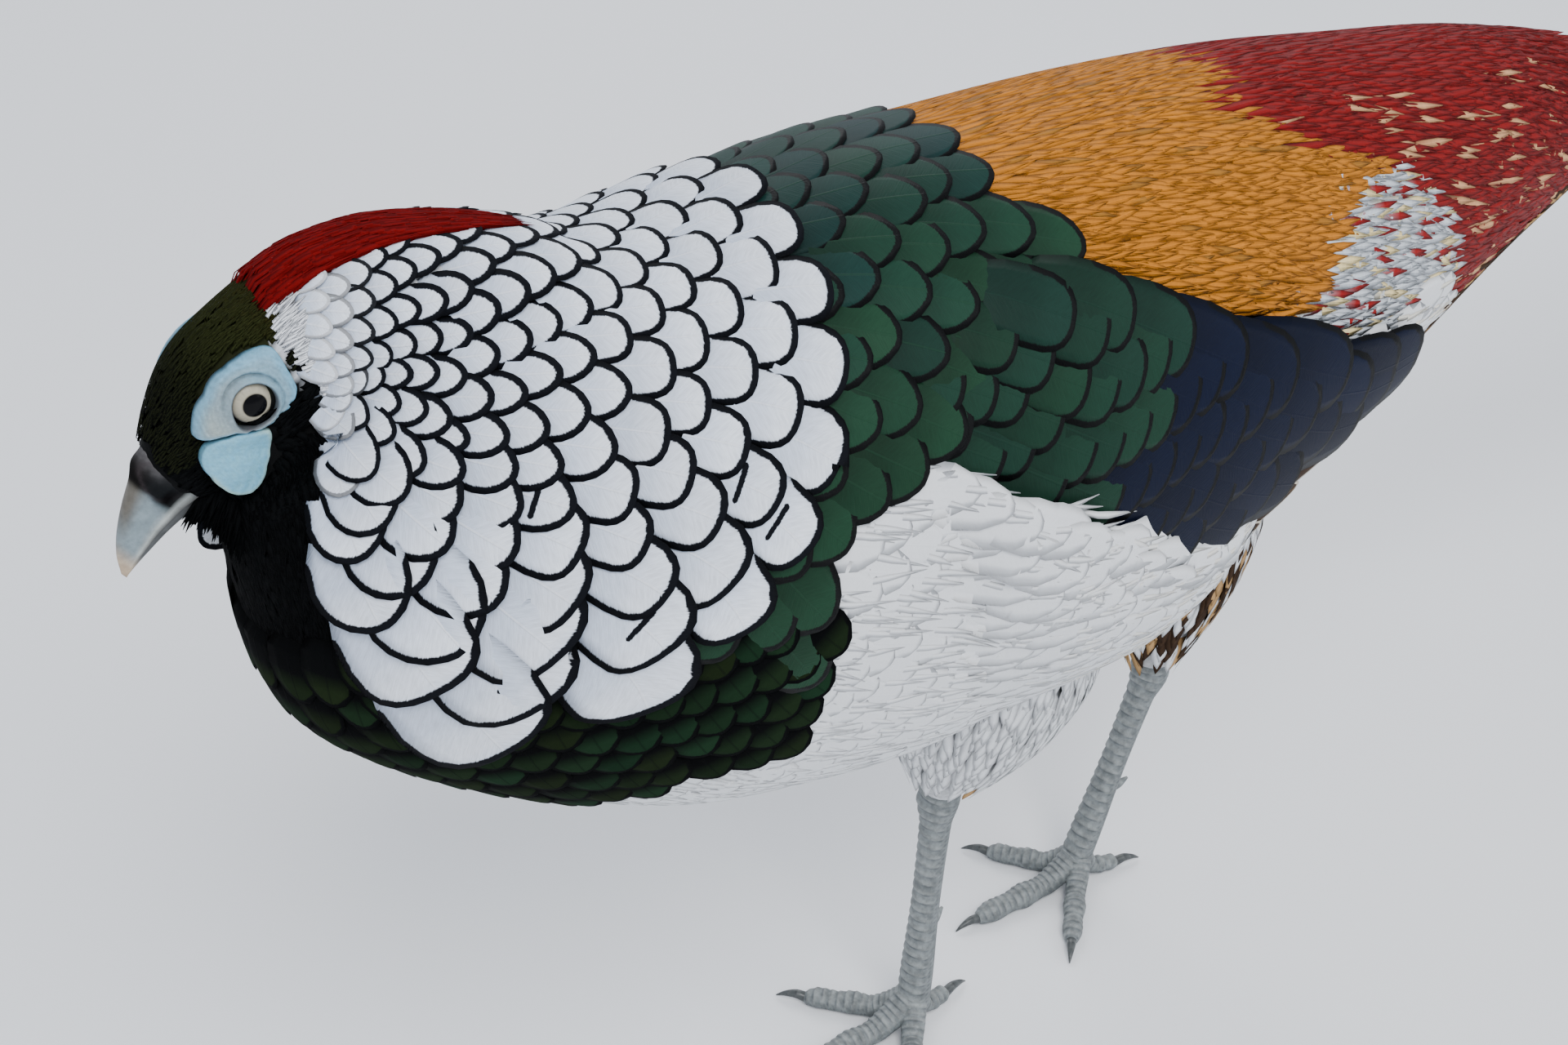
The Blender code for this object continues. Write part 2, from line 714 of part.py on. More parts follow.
def skin_vane(path, length, half, pitch, lift, helpers):
    """A scale-like feather along the path from its root to its tip, over what lies lift(u, turn) above the trunk.

    Its root is sunk, it then clears what it grows from, and it rises so that the row behind, which lies
    pitch away, runs under it.
    """
    rise = (VANE + VANE_APART) / pitch
    centres, sides, ups, halves = [], [], [], []
    for share, width in zip(SCALE_SHARES, SCALE_WIDTHS):
        step = round(share * VANE_STEPS)
        point, normal = lifted_frame(*path[step], lift)
        ahead, behind = path[min(step + 1, VANE_STEPS)], path[max(step - 1, 0)]
        heading = (trunk_ring_point(*ahead) - trunk_ring_point(*behind)).normalized()
        rooted = min(1.0, share / SCALE_SHARES[1])
        height = -VANE_SINK + (VANE_SINK + VANE_CLEAR) * rooted
        height += rise * length * max(0.0, share - SCALE_SHARES[1])
        centres.append(point + normal * (height + VANE / 2))
        sides.append(heading.cross(normal).normalized())
        ups.append(normal)
        halves.append(half * width)
    return vane_mesh("feather", centres, sides, ups, halves, VANE, helpers)


def flat_lift(*_):
    return 0.0


def either_wing_lift(u, turn):
    return wing_lift(u, abs(turn))


def build_wing(side, birds, helpers):
    """The folded wing: a thin shell over the trunk's side with its coverts, secondaries and primaries."""
    inner, outer = [], []
    for i in range(WING_ROWS):
        for j in range(WING_COLUMNS):
            u, turn = wing_place(i / (WING_ROWS - 1), j / (WING_COLUMNS - 1))
            inner.append(trunk_point(u, side * turn, WING_GAP))
            outer.append(trunk_point(u, side * turn, wing_lift(u, turn)))
    count = len(inner)
    faces = []
    for i in range(WING_ROWS - 1):
        for j in range(WING_COLUMNS - 1):
            here = i * WING_COLUMNS + j
            corners = (here, here + 1, here + WING_COLUMNS + 1, here + WING_COLUMNS)
            for a, b, c in ((0, 1, 2), (0, 2, 3)):
                faces.append((corners[a], corners[b], corners[c]))
                faces.append((count + corners[c], count + corners[b], count + corners[a]))
    rim = list(range(WING_COLUMNS))
    rim += [i * WING_COLUMNS + WING_COLUMNS - 1 for i in range(1, WING_ROWS)]
    rim += [(WING_ROWS - 1) * WING_COLUMNS + j for j in range(WING_COLUMNS - 2, -1, -1)]
    rim += [i * WING_COLUMNS for i in range(WING_ROWS - 2, 0, -1)]
    for a, b in zip(rim, rim[1:] + rim[:1]):
        faces.append((b, a, count + a))
        faces.append((b, count + a, count + b))
    wing = add_object("wing_left" if side > 0 else "wing_right", inner + outer, faces, birds)
    feathers = []
    for tier, (along, length, lean) in enumerate(WING_TIERS):
        upper, lower = wing_place(along, 0.0), wing_place(along, 1.0)
        width = (trunk_ring_point(*lower) - trunk_ring_point(*upper)).length
        shift = tier % 2
        number = max(3, round(width / WING_SPACING))
        for k in range(number - shift):
            u, turn = wing_place(along, (k + 0.5 + 0.5 * shift) / number)
            reach = length * random.uniform(0.96, 1.04)
            path = skin_path(u, side * turn, reach, math.radians(lean))
            half = VANE_SHARE * width / number
            feathers.append(skin_vane(path, reach, half, WING_PITCH, either_wing_lift, helpers))
    combine(wing, feathers, "UNION")


def build_cape(neck, helpers):
    """Rows of scale feathers from the cape's front to its rear edge, which overhangs the torso."""
    feathers = []
    for row, (distance, pitch, number) in enumerate(CAPE_ROWS):
        for k in range(number):
            turn = math.radians(CAPE_REACH * (2 * (k + 0.5 * (row % 2)) / (number - 0.5) - 1))
            if row >= CREST_ROWS and abs(math.degrees(turn)) < CREST_CLEAR:
                continue
            edge = between(CAPE_EDGE, abs(math.degrees(turn)))
            tip = skin_path(edge, turn, -distance, 0.0)[-1]
            length = CAPE_OVERLAP * pitch * random.uniform(0.97, 1.03)
            lean = math.radians(CAPE_LEAN) * min(1.0, abs(turn))
            root = skin_path(*tip, -length, lean)[-1]
            if root[0] > CAPE_FRONT:
                continue
            _, _, _, per_turn = trunk_frame(*tip)
            half = VANE_SHARE * 2 * math.radians(CAPE_REACH) * per_turn / (number - 0.5)
            path = skin_path(*root, length, lean)
            feathers.append(skin_vane(path, length, half, pitch, flat_lift, helpers))
    combine(neck, feathers, "UNION")


def build_crest(head, helpers):
    feathers = []
    for place in CREST_PLACES:
        centres, halves = [], []
        for (x, z), width in zip(CREST_LINE, CREST_WIDTHS):
            back = (CREST_LINE[0][0] - x) / (CREST_LINE[0][0] - CREST_LINE[-1][0])
            gathered = place * (1 - CREST_GATHER * back)
            centres.append(Vector((x, gathered, z - CREST_BEND * place * place)))
            halves.append(CREST_HALF * width)
        roll = CREST_ROLL * place
        sides = [Vector((0, math.cos(roll), -math.sin(roll)))] * len(centres)
        ups = [Vector((0, math.sin(roll), math.cos(roll)))] * len(centres)
        feathers.append(vane_mesh("crest", centres, sides, ups, halves, CREST_VANE, helpers))
    combine(head, feathers, "UNION")


def build_leg(word, birds, helpers):
    """Thigh, tarsus, foot and claws of one leg."""
    hip, hock, ankle = LEGS[word]
    side = 1 if word == "left" else -1
    shin = (hock - hip).normalized()
    down = (ankle - hock).normalized()
    thigh_line = [hip.lerp(hock, share) for share in THIGH_SHARES]
    thigh = add_limb("thigh_" + word, thigh_line, THIGH_RADII, THIGH_SIDES, birds)
    combine(thigh, [add_object("room", *trunk_mesh(THIGH_GAP), helpers)], "DIFFERENCE")
    part_off(thigh, hock - shin * SHANK_END, -shin)

    above, below = hock - shin * TARSUS_ENDS[0], ankle + down * TARSUS_ENDS[1]
    shank_line = [above, hock, hock + down * TARSUS_NECK, hock.lerp(ankle, 0.5), ankle, below]
    tarsus = add_limb("tarsus_" + word, shank_line, TARSUS_RADII, TARSUS_SIDES, birds)
    part_off(tarsus, hock - shin * (SHANK_END - GAP), shin)
    part_off(tarsus, Vector((0, 0, ankle.z)), Vector((0, 0, 1)))
    spur_root = hock.lerp(ankle, SPUR_PLACE)
    spur_line = [spur_root + Vector((x, y * side, z)) for x, y, z in SPUR_LINE]
    combine(tarsus, [add_limb("spur", spur_line, SPUR_RADII, SPUR_SIDES, helpers)], "UNION")

    palm = Matrix.Translation(ankle - Vector((0, 0, PALM_DROP))) @ Matrix.Scale(PALM_RADIUS, 4)
    foot = add_ball("foot_" + word, palm, birds, 12, 8)
    toes = []
    for name, heading, length, radius in TOES:
        turn = math.radians(-heading * side)
        ahead = Vector((math.cos(turn), math.sin(turn), 0))
        toes.append(build_toe(name, word, ankle, ahead, length, radius, birds, helpers))
    combine(foot, toes, "UNION")
    part_off(foot, Vector((0, 0, 0)), Vector((0, 0, 1)))
    part_off(foot, Vector((0, 0, ankle.z - GAP)), Vector((0, 0, -1)))
    keep_largest(foot)


def build_toe(name, word, ankle, ahead, length, radius, birds, helpers):
    """One toe with its pads, and its claw as a piece of its own."""
    root = Vector((ankle.x, ankle.y, 0))
    centres = [root + ahead * (length * share) + Vector((0, 0, high)) for share, _, high in TOE_STATIONS]
    toe = add_limb("toe", centres, [radius * swell for _, swell, _ in TOE_STATIONS], TOE_SIDES, helpers)
    part_off(toe, centres[-1], -ahead)
    tip = centres[-1] + ahead * GAP
    arc = [tip + ahead * (CLAW_LENGTH * share) + Vector((0, 0, rise)) for share, rise, _ in CLAW_STATIONS]
    radii = [CLAW_RADIUS * width for _, _, width in CLAW_STATIONS]
    claw = add_limb("claw_" + word + "_" + name, arc, radii, CLAW_SIDES, birds)
    part_off(claw, tip, ahead)
    part_off(claw, Vector((0, 0, CLAW_FLOOR)), Vector((0, 0, 1)))
    return toe


def tail_fall(back):
    """How far the tail hangs at this distance behind its root."""
    return TAIL_DROOP * (back / TAIL_PAIRS[0][0]) ** TAIL_CURVE


def tail_vane(length, half, aside, level, side, helpers):
    """One long tail feather: a lance with a rounded point that droops to its tip."""
    centres, sides, ups, halves = [], [], [], []
    for share, width in zip(TAIL_SHARES, TAIL_WIDTHS):
        back = length * share
        spread = side * aside * min(1.0, TAIL_SPREAD[0] + back / TAIL_SPREAD[1])
        centres.append(TAIL_ROOT + Vector((-back, spread, -level - tail_fall(back))))
        roll = 0.0 if aside < half else TAIL_ROLL
        sides.append(Vector((0, 1, -roll * side)).normalized())
        ups.append(Vector((0, roll * side, 1)).normalized())
        halves.append(half * width)
    return vane_mesh("rectrix", centres, sides, ups, halves, TAIL_VANE, helpers)


def covert(start, length, half, aside, height, side, helpers):
    """A pointed feather that starts in the tail root and lies along the tail, above or below it."""
    centres, sides, ups, halves = [], [], [], []
    for share, width in zip(COVERT_SHARES, COVERT_WIDTHS):
        back = length * share
        over = TAIL_ROOT + Vector((-back, side * aside * (0.75 + 0.25 * share), height - tail_fall(back)))
        centres.append(start.lerp(over, min(1.0, share / COVERT_SHARES[1])))
        sides.append(Vector((0, 1, 0)))
        ups.append(Vector((0, 0, 1)))
        halves.append(half * width)
    return vane_mesh("covert", centres, sides, ups, halves, VANE, helpers)


def build_tail(tail, helpers):
    added = []
    cone = []
    for x, z, half, tall in TAIL_CONE:
        turns = [2 * math.pi * j / TAIL_CONE_SIDES for j in range(TAIL_CONE_SIDES)]
        cone.append([Vector((x, half * math.sin(t), z + tall * math.cos(t))) for t in turns])
    added.append(add_object("root", *tube_mesh(cone), helpers))
    for pair, (length, half, aside, level) in enumerate(TAIL_PAIRS):
        for side in (1, -1):
            under = TAIL_UNDER if pair == 0 and side < 0 else 0.0
            added.append(tail_vane(length, half, aside, level + under, side, helpers))
    lowest = TAIL_PAIRS[-1][3]
    under = [(aside, length, half, -lowest - height) for aside, length, half, height in COVERTS_UNDER]
    for rows, root in zip((COVERTS_OVER, under), COVERT_ROOTS):
        for aside, length, half, height in rows:
            for side in (1, -1) if aside else (1,):
                start = TAIL_ROOT + root + Vector((0, side * aside * COVERT_GATHER, 0))
                added.append(covert(start, length, half, aside, height, side, helpers))
    combine(tail, added, "UNION")


def paint(made, name):
    colour = COLOURS[name]
    finish = bpy.data.materials.get(name)
    if finish is None:
        finish = bpy.data.materials.new(name)
        finish.use_nodes = True
        shader = finish.node_tree.nodes["Principled BSDF"]
        shader.inputs["Base Color"].default_value = (*colour, 1)
        shader.inputs["Roughness"].default_value = ROUGHNESS.get(name, 0.6)
        shader.inputs["Metallic"].default_value = 0.0
    made.data.materials.clear()
    made.data.materials.append(finish)
    made.data.shade_smooth()
    made.data.set_sharp_from_angle(angle=math.radians(35))


def centre_on_origin(birds):
    """Puts the middle of the whole model's box over the origin, by an empty that carries every piece."""
    corners = [made.matrix_world @ vert.co for made in birds.objects for vert in made.data.vertices]
    middle = []
    for axis in range(2):
        values = [corner[axis] for corner in corners]
        middle.append((min(values) + max(values)) / 2)
    carrier = bpy.data.objects.new("pheasant", None)
    for made in list(birds.objects):
        made.parent = carrier
    birds.objects.link(carrier)
    carrier.location = (-middle[0], -middle[1], 0)


def main():
    for made in list(bpy.data.objects):
        bpy.data.objects.remove(made)
    random.seed(SEED)
    birds = bpy.data.collections.new("pheasant")
    helpers = bpy.data.collections.new("helpers")
    bpy.context.scene.collection.children.link(birds)
    bpy.context.scene.collection.children.link(helpers)
    head, neck, _, tail = build_body(birds, helpers)
    build_face(head, helpers)
    build_crest(head, helpers)
    build_cape(neck, helpers)
    build_eyes(birds)
    build_bill(birds, helpers)
    for side in (1, -1):
        build_wing(side, birds, helpers)
    for word in LEGS:
        build_leg(word, birds, helpers)
    build_tail(tail, helpers)
    for made in birds.objects:
        paint(made, made.name.split("_")[0])
    centre_on_origin(birds)
    bpy.data.collections.remove(helpers)


main()
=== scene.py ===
"""The looks of the Lady Amherst's pheasant: skin, feathers, bare parts, floor, lights and camera.

Everything is laid out in the bird's own frame, metres with +X towards the bill and the feet about
(0, 0, 0), and is shifted once, by SHIFT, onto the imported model.
"""

import math

import bmesh
import bpy
import numpy as np
from mathutils import Matrix, Vector
from mathutils.bvhtree import BVHTree


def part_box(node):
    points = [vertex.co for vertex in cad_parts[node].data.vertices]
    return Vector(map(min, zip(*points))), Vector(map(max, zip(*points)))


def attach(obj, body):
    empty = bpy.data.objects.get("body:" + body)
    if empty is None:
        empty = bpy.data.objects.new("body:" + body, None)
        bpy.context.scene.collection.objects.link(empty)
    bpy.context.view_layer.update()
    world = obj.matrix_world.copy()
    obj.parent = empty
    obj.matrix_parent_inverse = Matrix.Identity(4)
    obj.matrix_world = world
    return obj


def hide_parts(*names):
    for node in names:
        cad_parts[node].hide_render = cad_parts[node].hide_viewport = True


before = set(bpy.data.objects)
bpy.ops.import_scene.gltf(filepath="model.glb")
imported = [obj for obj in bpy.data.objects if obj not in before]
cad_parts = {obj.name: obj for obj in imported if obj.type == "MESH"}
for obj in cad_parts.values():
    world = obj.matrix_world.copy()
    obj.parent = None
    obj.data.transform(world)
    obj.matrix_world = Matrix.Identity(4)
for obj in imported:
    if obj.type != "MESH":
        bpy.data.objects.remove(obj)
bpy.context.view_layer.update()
rng = np.random.default_rng(7)

EYE_PLACE = np.array((0.233, 0.0098, 0.274))
EYE_RADIUS = 0.0062
eye_low, eye_high = (np.array(corner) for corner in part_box("eye_left"))
SHIFT = (eye_low + eye_high) / 2 - EYE_PLACE

# Trunk from the tail root to the throat: x, z of the spine, tilt in degrees, half width, height above
# and depth below the spine.
TRUNK = (
    (-0.196, 0.254, -3, 0.022, 0.024, 0.022),
    (-0.150, 0.251, -3, 0.034, 0.036, 0.035),
    (-0.100, 0.243, -2, 0.046, 0.049, 0.051),
    (-0.045, 0.232, 0, 0.058, 0.064, 0.074),
    (0.015, 0.221, 2, 0.066, 0.075, 0.092),
    (0.070, 0.215, 3, 0.069, 0.079, 0.093),
    (0.118, 0.217, 9, 0.069, 0.0725, 0.087),
    (0.154, 0.227, 22, 0.065, 0.062, 0.079),
    (0.182, 0.242, 36, 0.055, 0.0545, 0.072),
    (0.202, 0.256, 45, 0.040, 0.048, 0.049),
    (0.217, 0.268, 48, 0.023, 0.034, 0.030),
)
# Head: distance along its line from the eye, top, bottom and half width.
HEAD_CENTRE = np.array((0.231, 0, 0.272))
HEAD_PITCH = 40.8
HEAD = (
    (-0.038, 0.002, -0.018, 0.0130),
    (-0.028, 0.007, -0.022, 0.0160),
    (-0.018, 0.0115, -0.022, 0.0165),
    (-0.008, 0.0135, -0.021, 0.0160),
    (0.000, 0.0145, -0.019, 0.0150),
    (0.007, 0.0140, -0.017, 0.0130),
    (0.015, 0.0110, -0.015, 0.0100),
    (0.0235, 0.0062, -0.0108, 0.0064),
)
SKULL_END = ((0.0270, 0.0040, -0.0092, 0.0046),)  # the skin runs on a little inside the bill
FACE_LOBES = (  # along, out and up, then half sizes, of the bare skin round the eye and of the lappet
    ((0.0010, 0.0105, 0.0022), (0.0128, 0.0048, 0.0092)),
    ((0.0120, 0.0085, -0.0052), (0.0078, 0.0052, 0.0062)),
)
EYE_ALONG, EYE_UP = 0.0002, 0.0028
# Outlines of the bare skin in millimetres along the head and up, round from the front.
RING_OUTLINE = (
    (13.6, 5.1), (10.8, 8.1), (8.1, 9.8), (5.0, 10.5), (1.6, 11.3), (-1.6, 10.9), (-4.7, 10.2), (-7.5, 9.1),
    (-9.1, 8.4), (-10.2, 7.8), (-11.0, 6.6), (-10.5, 4.8), (-9.5, 2.6), (-8.5, 0.0), (-7.6, -1.8),
    (-5.2, -3.1), (-2.6, -3.6), (-0.3, -3.6), (1.2, -3.0), (4.5, -0.4), (7.4, 2.0), (10.5, 3.8), (12.6, 4.6),
)
LAPPET_OUTLINE = (
    (16.2, 1.6), (14.7, 2.8), (12.8, 3.4), (8.7, 1.6), (4.8, -1.4), (2.3, -4.0), (3.4, -6.2), (5.6, -8.0),
    (9.0, -10.2), (12.5, -12.2), (15.6, -12.3), (17.8, -9.9), (18.2, -6.3), (17.6, -2.6), (17.0, 0.2),
)
LEGS = {  # hip, hock and ankle
    "left": ((0.0264, 0.0270, 0.190), (0.0426, 0.013, 0.0905), (0.0446, 0.012, 0.016)),
    "right": ((-0.0712, -0.0215, 0.205), (-0.0666, -0.013, 0.0795), (-0.0446, -0.012, 0.016)),
}
THIGH_SHARES = (0.0, 0.48, 0.66, 0.81, 0.925, 1.0)
THIGH_RADII = (0.020, 0.029, 0.025, 0.0175, 0.0105, 0.0064)
TARSUS_RADII = (0.0056, 0.0062, 0.0046, 0.0042, 0.0050, 0.0050)
TOES = {"inner": (-52, 0.031, 0.0036), "middle": (0, 0.043, 0.0040), "outer": (46, 0.034, 0.0036),
        "hind": (170, 0.015, 0.0030)}
TOE_STATIONS = (  # share of the length, swelling of the pads, height of the middle
    (0.0, 1.15, 0.0095), (0.22, 1.05, 0.0058), (0.42, 0.90, 0.0031), (0.56, 1.04, 0.0030),
    (0.72, 0.86, 0.0027), (0.88, 0.92, 0.0026), (1.0, 0.62, 0.0022),
)
CLAW_STATIONS = ((0.0, 0.0, 1.0), (0.35, 0.0007, 0.84), (0.7, 0.0001, 0.52), (1.0, -0.0013, 0.12))
CLAW_LENGTH, CLAW_RADIUS = 0.010, 0.0017
BILL = (  # distance along the head's line, culmen, mouth line, lower edge, half width
    (0.0160, 0.0070, -0.0080, -0.0112, 0.0066),
    (0.0200, 0.0068, -0.0079, -0.0112, 0.0062),
    (0.0238, 0.0060, -0.0076, -0.0110, 0.0055),
    (0.0280, 0.0042, -0.0070, -0.0107, 0.0049),
    (0.0340, 0.0014, -0.0072, -0.0101, 0.0039),
    (0.0400, -0.0022, -0.0083, -0.0100, 0.0027),
    (0.0440, -0.0056, -0.0094, -0.0102, 0.0015),
    (0.0467, -0.0092, -0.0104, -0.0106, 0.0004),
)
TAIL_PAIRS = (  # length, half width, distance from the middle, depth under the top pair
    (0.930, 0.0245, 0.0060, 0.0000),
    (0.600, 0.0190, 0.0205, 0.0042),
    (0.500, 0.0180, 0.0205, 0.0056),
    (0.420, 0.0175, 0.0208, 0.0070),
    (0.350, 0.0170, 0.0210, 0.0084),
    (0.290, 0.0165, 0.0212, 0.0098),
    (0.240, 0.0160, 0.0214, 0.0112),
    (0.205, 0.0155, 0.0216, 0.0126),
    (0.180, 0.0150, 0.0218, 0.0140),
)
TAIL_SHARES = (0.0, 0.07, 0.20, 0.42, 0.66, 0.86, 1.0)
TAIL_WIDTHS = (0.35, 0.78, 1.0, 0.98, 0.80, 0.46, 0.07)
TAIL_ROOT = np.array((-0.200, 0.0, 0.266))
TAIL_DROOP, TAIL_CURVE, TAIL_UNDER, TAIL_ROLL = 0.085, 1.7, 0.0015, 0.06
FLOOR = -SHIFT[2]
INSET = 0.0016  # depth of the skin under the outline that its feathers reach
ROOT_DEPTH = 0.0012  # of a feather's root under the skin
PUPIL_RADIUS, IRIS_RADIUS = 2.35, 4.22  # millimetres
BAR_SPACING = 1.55  # of the tail's bars, in centimetres as the Vane map is


def linear(red, green, blue):
    """A colour given as 0-255 screen values, in linear light."""
    values = np.array((red, green, blue)) / 255
    return np.where(values <= 0.04045, values / 12.92, ((values + 0.055) / 1.055) ** 2.4)


WHITE = linear(228, 231, 236)
EDGE_BLACK = linear(10, 12, 18)
BLACK = linear(9, 10, 11)
GREEN = linear(27, 58, 40)
TEAL = linear(16, 44, 46)
NAVY = linear(8, 16, 38)
OLIVE = linear(34, 46, 26)
OCHRE = linear(188, 116, 28)
RED = linear(128, 14, 14)
ORANGE_RED = linear(176, 36, 10)
PALE_GREY = linear(196, 201, 206)
CREAM = linear(226, 206, 150)
BELLY = linear(222, 224, 226)
BROWN = linear(60, 44, 32)
BUFF = linear(176, 140, 96)
CROWN = linear(38, 42, 20)
CREST = linear(104, 14, 16)
# Single parts of the plumage.
# Painted shade: the blue-grey of the cape's white scales just inside their black edges.
CAPE_TIP_SHADE = linear(176, 194, 214)
CAPE_SHAFT = linear(236, 238, 242)
OLIVE_FLECK = linear(90, 80, 40)
FLANK_SHADE = linear(226, 221, 206)
PRIMARY_EDGE = linear(205, 196, 180)
# The bare skin round the eye, and the lappet.
SKIN_GREY = linear(132, 152, 160)
SKIN_BLUE = linear(112, 166, 192)
SKIN_PALE = linear(170, 180, 172)
LID_DARK = linear(58, 56, 60)
LAPPET_PALE = linear(124, 184, 204)
LAPPET_BLUE = linear(104, 166, 192)
LAPPET_RIM = linear(176, 205, 190)
# The iris and the pupil.
IRIS_PALE = linear(172, 166, 146)
IRIS_STREAK = linear(134, 132, 124)
IRIS_INNER = linear(96, 90, 80)
IRIS_OUTER = linear(120, 118, 112)
PUPIL = linear(3, 3, 5)
# The upper bill, its patch and its edges.
BILL_GREY = linear(122, 136, 142)
BILL_RIDGE = linear(170, 174, 170)
BILL_BROWN = linear(86, 74, 58)
BILL_TIP = linear(182, 162, 138)
BILL_PATCH = linear(12, 11, 12)
BILL_RIPPLE = linear(120, 118, 120)
BILL_RIM = linear(64, 58, 60)
NOSTRIL = linear(10, 9, 10)
# The lower bill and the mouth's line.
LOWER_PALE = linear(150, 160, 162)
LOWER_GREY = linear(112, 122, 128)
LOWER_TIP = linear(176, 158, 138)
MOUTH_LINE = linear(50, 44, 44)
# The leg's plates, their lighter part and the grooves between them.
PLATE = linear(108, 114, 115)
PLATE_LIT = linear(138, 142, 140)
PLATE_GROOVE = linear(58, 62, 68)
# The tail's feathers: most of them, the outer webs, the shafts and the bars.
TAIL_GREY = linear(184, 182, 172)
TAIL_BROWN = linear(140, 104, 66)
TAIL_SHAFT = linear(90, 80, 66)
TAIL_BAR = linear(16, 20, 22)


def slopes_of(places, values):
    steps = np.diff(places)
    rises = np.diff(values, axis=0) / steps[:, None]
    slopes = np.zeros_like(values)
    slopes[0], slopes[-1] = rises[0], rises[-1]
    before, after = rises[:-1], rises[1:]
    same = before * after > 0
    weight = 1 / np.where(same, before, 1) + 1 / np.where(same, after, 1)
    slopes[1:-1] = np.where(same, 2 / weight, 0)
    return slopes


def read_rows(places, rows, slopes, at):
    """Rows of numbers read smoothly between their places."""
    i = np.clip(np.searchsorted(places, at, side="right") - 1, 0, len(places) - 2)
    width = (places[i + 1] - places[i])[..., None]
    t = (at - places[i])[..., None] / width
    start = (1 + 2 * t) * (1 - t) ** 2 * rows[i] + t * (1 - t) ** 2 * width * slopes[i]
    return start + t * t * (3 - 2 * t) * rows[i + 1] - t * t * (1 - t) * width * slopes[i + 1]


class Loft:
    """A body read smoothly along its stations: u from 0 to 1, turn from its top round by the left.

    Each station is x, y, z of its middle, tilt in degrees, half width, height above and depth below.
    """

    def __init__(self, rows):
        self.rows = np.array(rows, float)
        lengths = np.linalg.norm(np.diff(self.rows[:, :3], axis=0), axis=1)
        self.places = np.r_[0.0, np.cumsum(lengths)]
        self.length = self.places[-1]
        self.places = self.places / self.length
        self.slopes = slopes_of(self.places, self.rows)

    def stations(self, u):
        return read_rows(self.places, self.rows, self.slopes, np.clip(u, 0, 1))

    def ring(self, u, turn):
        u, turn = np.broadcast_arrays(np.asarray(u, float), np.asarray(turn, float))
        x, y, z, tilt, half, up, down = np.moveaxis(self.stations(u), -1, 0)
        tilt = np.radians(tilt)
        rise = np.where(np.cos(turn) > 0, up, down) * np.cos(turn)
        return np.stack((x - np.sin(tilt) * rise, y + half * np.sin(turn), z + np.cos(tilt) * rise), -1)

    def frame(self, u, turn):
        """Points, outward normals, and the skin's vectors for one unit of u and one radian."""
        small = 0.004
        u = np.clip(u, small, 1 - small)
        along = (self.ring(u + small, turn) - self.ring(u - small, turn)) / (2 * small)
        around = (self.ring(u, turn + small) - self.ring(u, turn - small)) / (2 * small)
        return self.ring(u, turn), unit(np.cross(along, around)), along, around


def place_on(loft, points):
    """u and turn of the loft's station through each point, and how far it is from the loft's surface."""
    grid = np.linspace(0, 1, 241)
    x, y, z, tilt, half, up, down = loft.stations(grid).T
    tilt = np.radians(tilt)
    ahead = (points[:, None, 0] - x) * np.cos(tilt) + (points[:, None, 2] - z) * np.sin(tilt)
    gap = np.abs(ahead) + 0.5 * np.linalg.norm(points[:, None] - np.stack((x, y, z), -1), axis=-1)
    near = np.clip(np.argmin(gap, axis=1), 1, len(grid) - 2)
    rows = np.arange(len(points))
    slope = (ahead[rows, near + 1] - ahead[rows, near - 1]) / (grid[2] - grid[0])
    raw = grid[near] - ahead[rows, near] / np.where(np.abs(slope) > 1e-6, slope, -1e6)
    u = np.clip(raw, 0, 1)
    x, y, z, tilt, half, up, down = loft.stations(u).T
    tilt = np.radians(tilt)
    rise = -(points[:, 0] - x) * np.sin(tilt) + (points[:, 2] - z) * np.cos(tilt)
    across = (points[:, 1] - y) / half
    high = rise / np.where(rise > 0, up, down)
    away = np.abs(np.hypot(across, high) - 1) * half
    return u, np.arctan2(across, high), away + np.abs(raw - u) * loft.length


def unit(vectors):
    return vectors / np.maximum(np.linalg.norm(vectors, axis=-1, keepdims=True), 1e-12)


def smooth(low, high, value):
    t = np.clip((value - low) / (high - low), 0, 1)
    return t * t * (3 - 2 * t)


def mix(a, b, share):
    share = np.asarray(share)[..., None]
    return a * (1 - share) + b * share


pitch = math.radians(HEAD_PITCH)
HEAD_FORWARD = np.array((math.cos(pitch), 0, -math.sin(pitch)))
HEAD_UP = np.array((math.sin(pitch), 0, math.cos(pitch)))
SIDEWAYS = np.array((0.0, 1.0, 0.0))


def on_head(along, side, up):
    along, side, up = np.broadcast_arrays(along, side, up)
    return (HEAD_CENTRE + along[..., None] * HEAD_FORWARD + up[..., None] * HEAD_UP
            + side[..., None] * SIDEWAYS)


def head_place(points):
    """Distance along the head's line and height over it."""
    away = points - HEAD_CENTRE
    return away @ HEAD_FORWARD, away @ HEAD_UP


def head_rows(stations=HEAD):
    rows = []
    for along, top, bottom, half in stations:
        middle = HEAD_CENTRE + HEAD_FORWARD * along + HEAD_UP * (top + bottom) / 2
        rows.append((*middle, -HEAD_PITCH, half, (top - bottom) / 2, (top - bottom) / 2))
    return rows


def limb_rows(start, end, shares, radii):
    """Stations of a round upright limb, from its lower end up."""
    start, end = np.array(start), np.array(end)
    rows = [(*(start + (end - start) * s), 90, r, r, r) for s, r in zip(shares, radii)]
    return rows[::-1]


trunk = Loft([(x, 0, z, tilt, half, up, down) for x, z, tilt, half, up, down in TRUNK])
head = Loft(head_rows())
thighs = {word: Loft(limb_rows(leg[0], leg[1], THIGH_SHARES, THIGH_RADII)) for word, leg in LEGS.items()}


def side_of(turn):
    return np.abs(np.degrees((turn + np.pi) % (2 * np.pi) - np.pi))


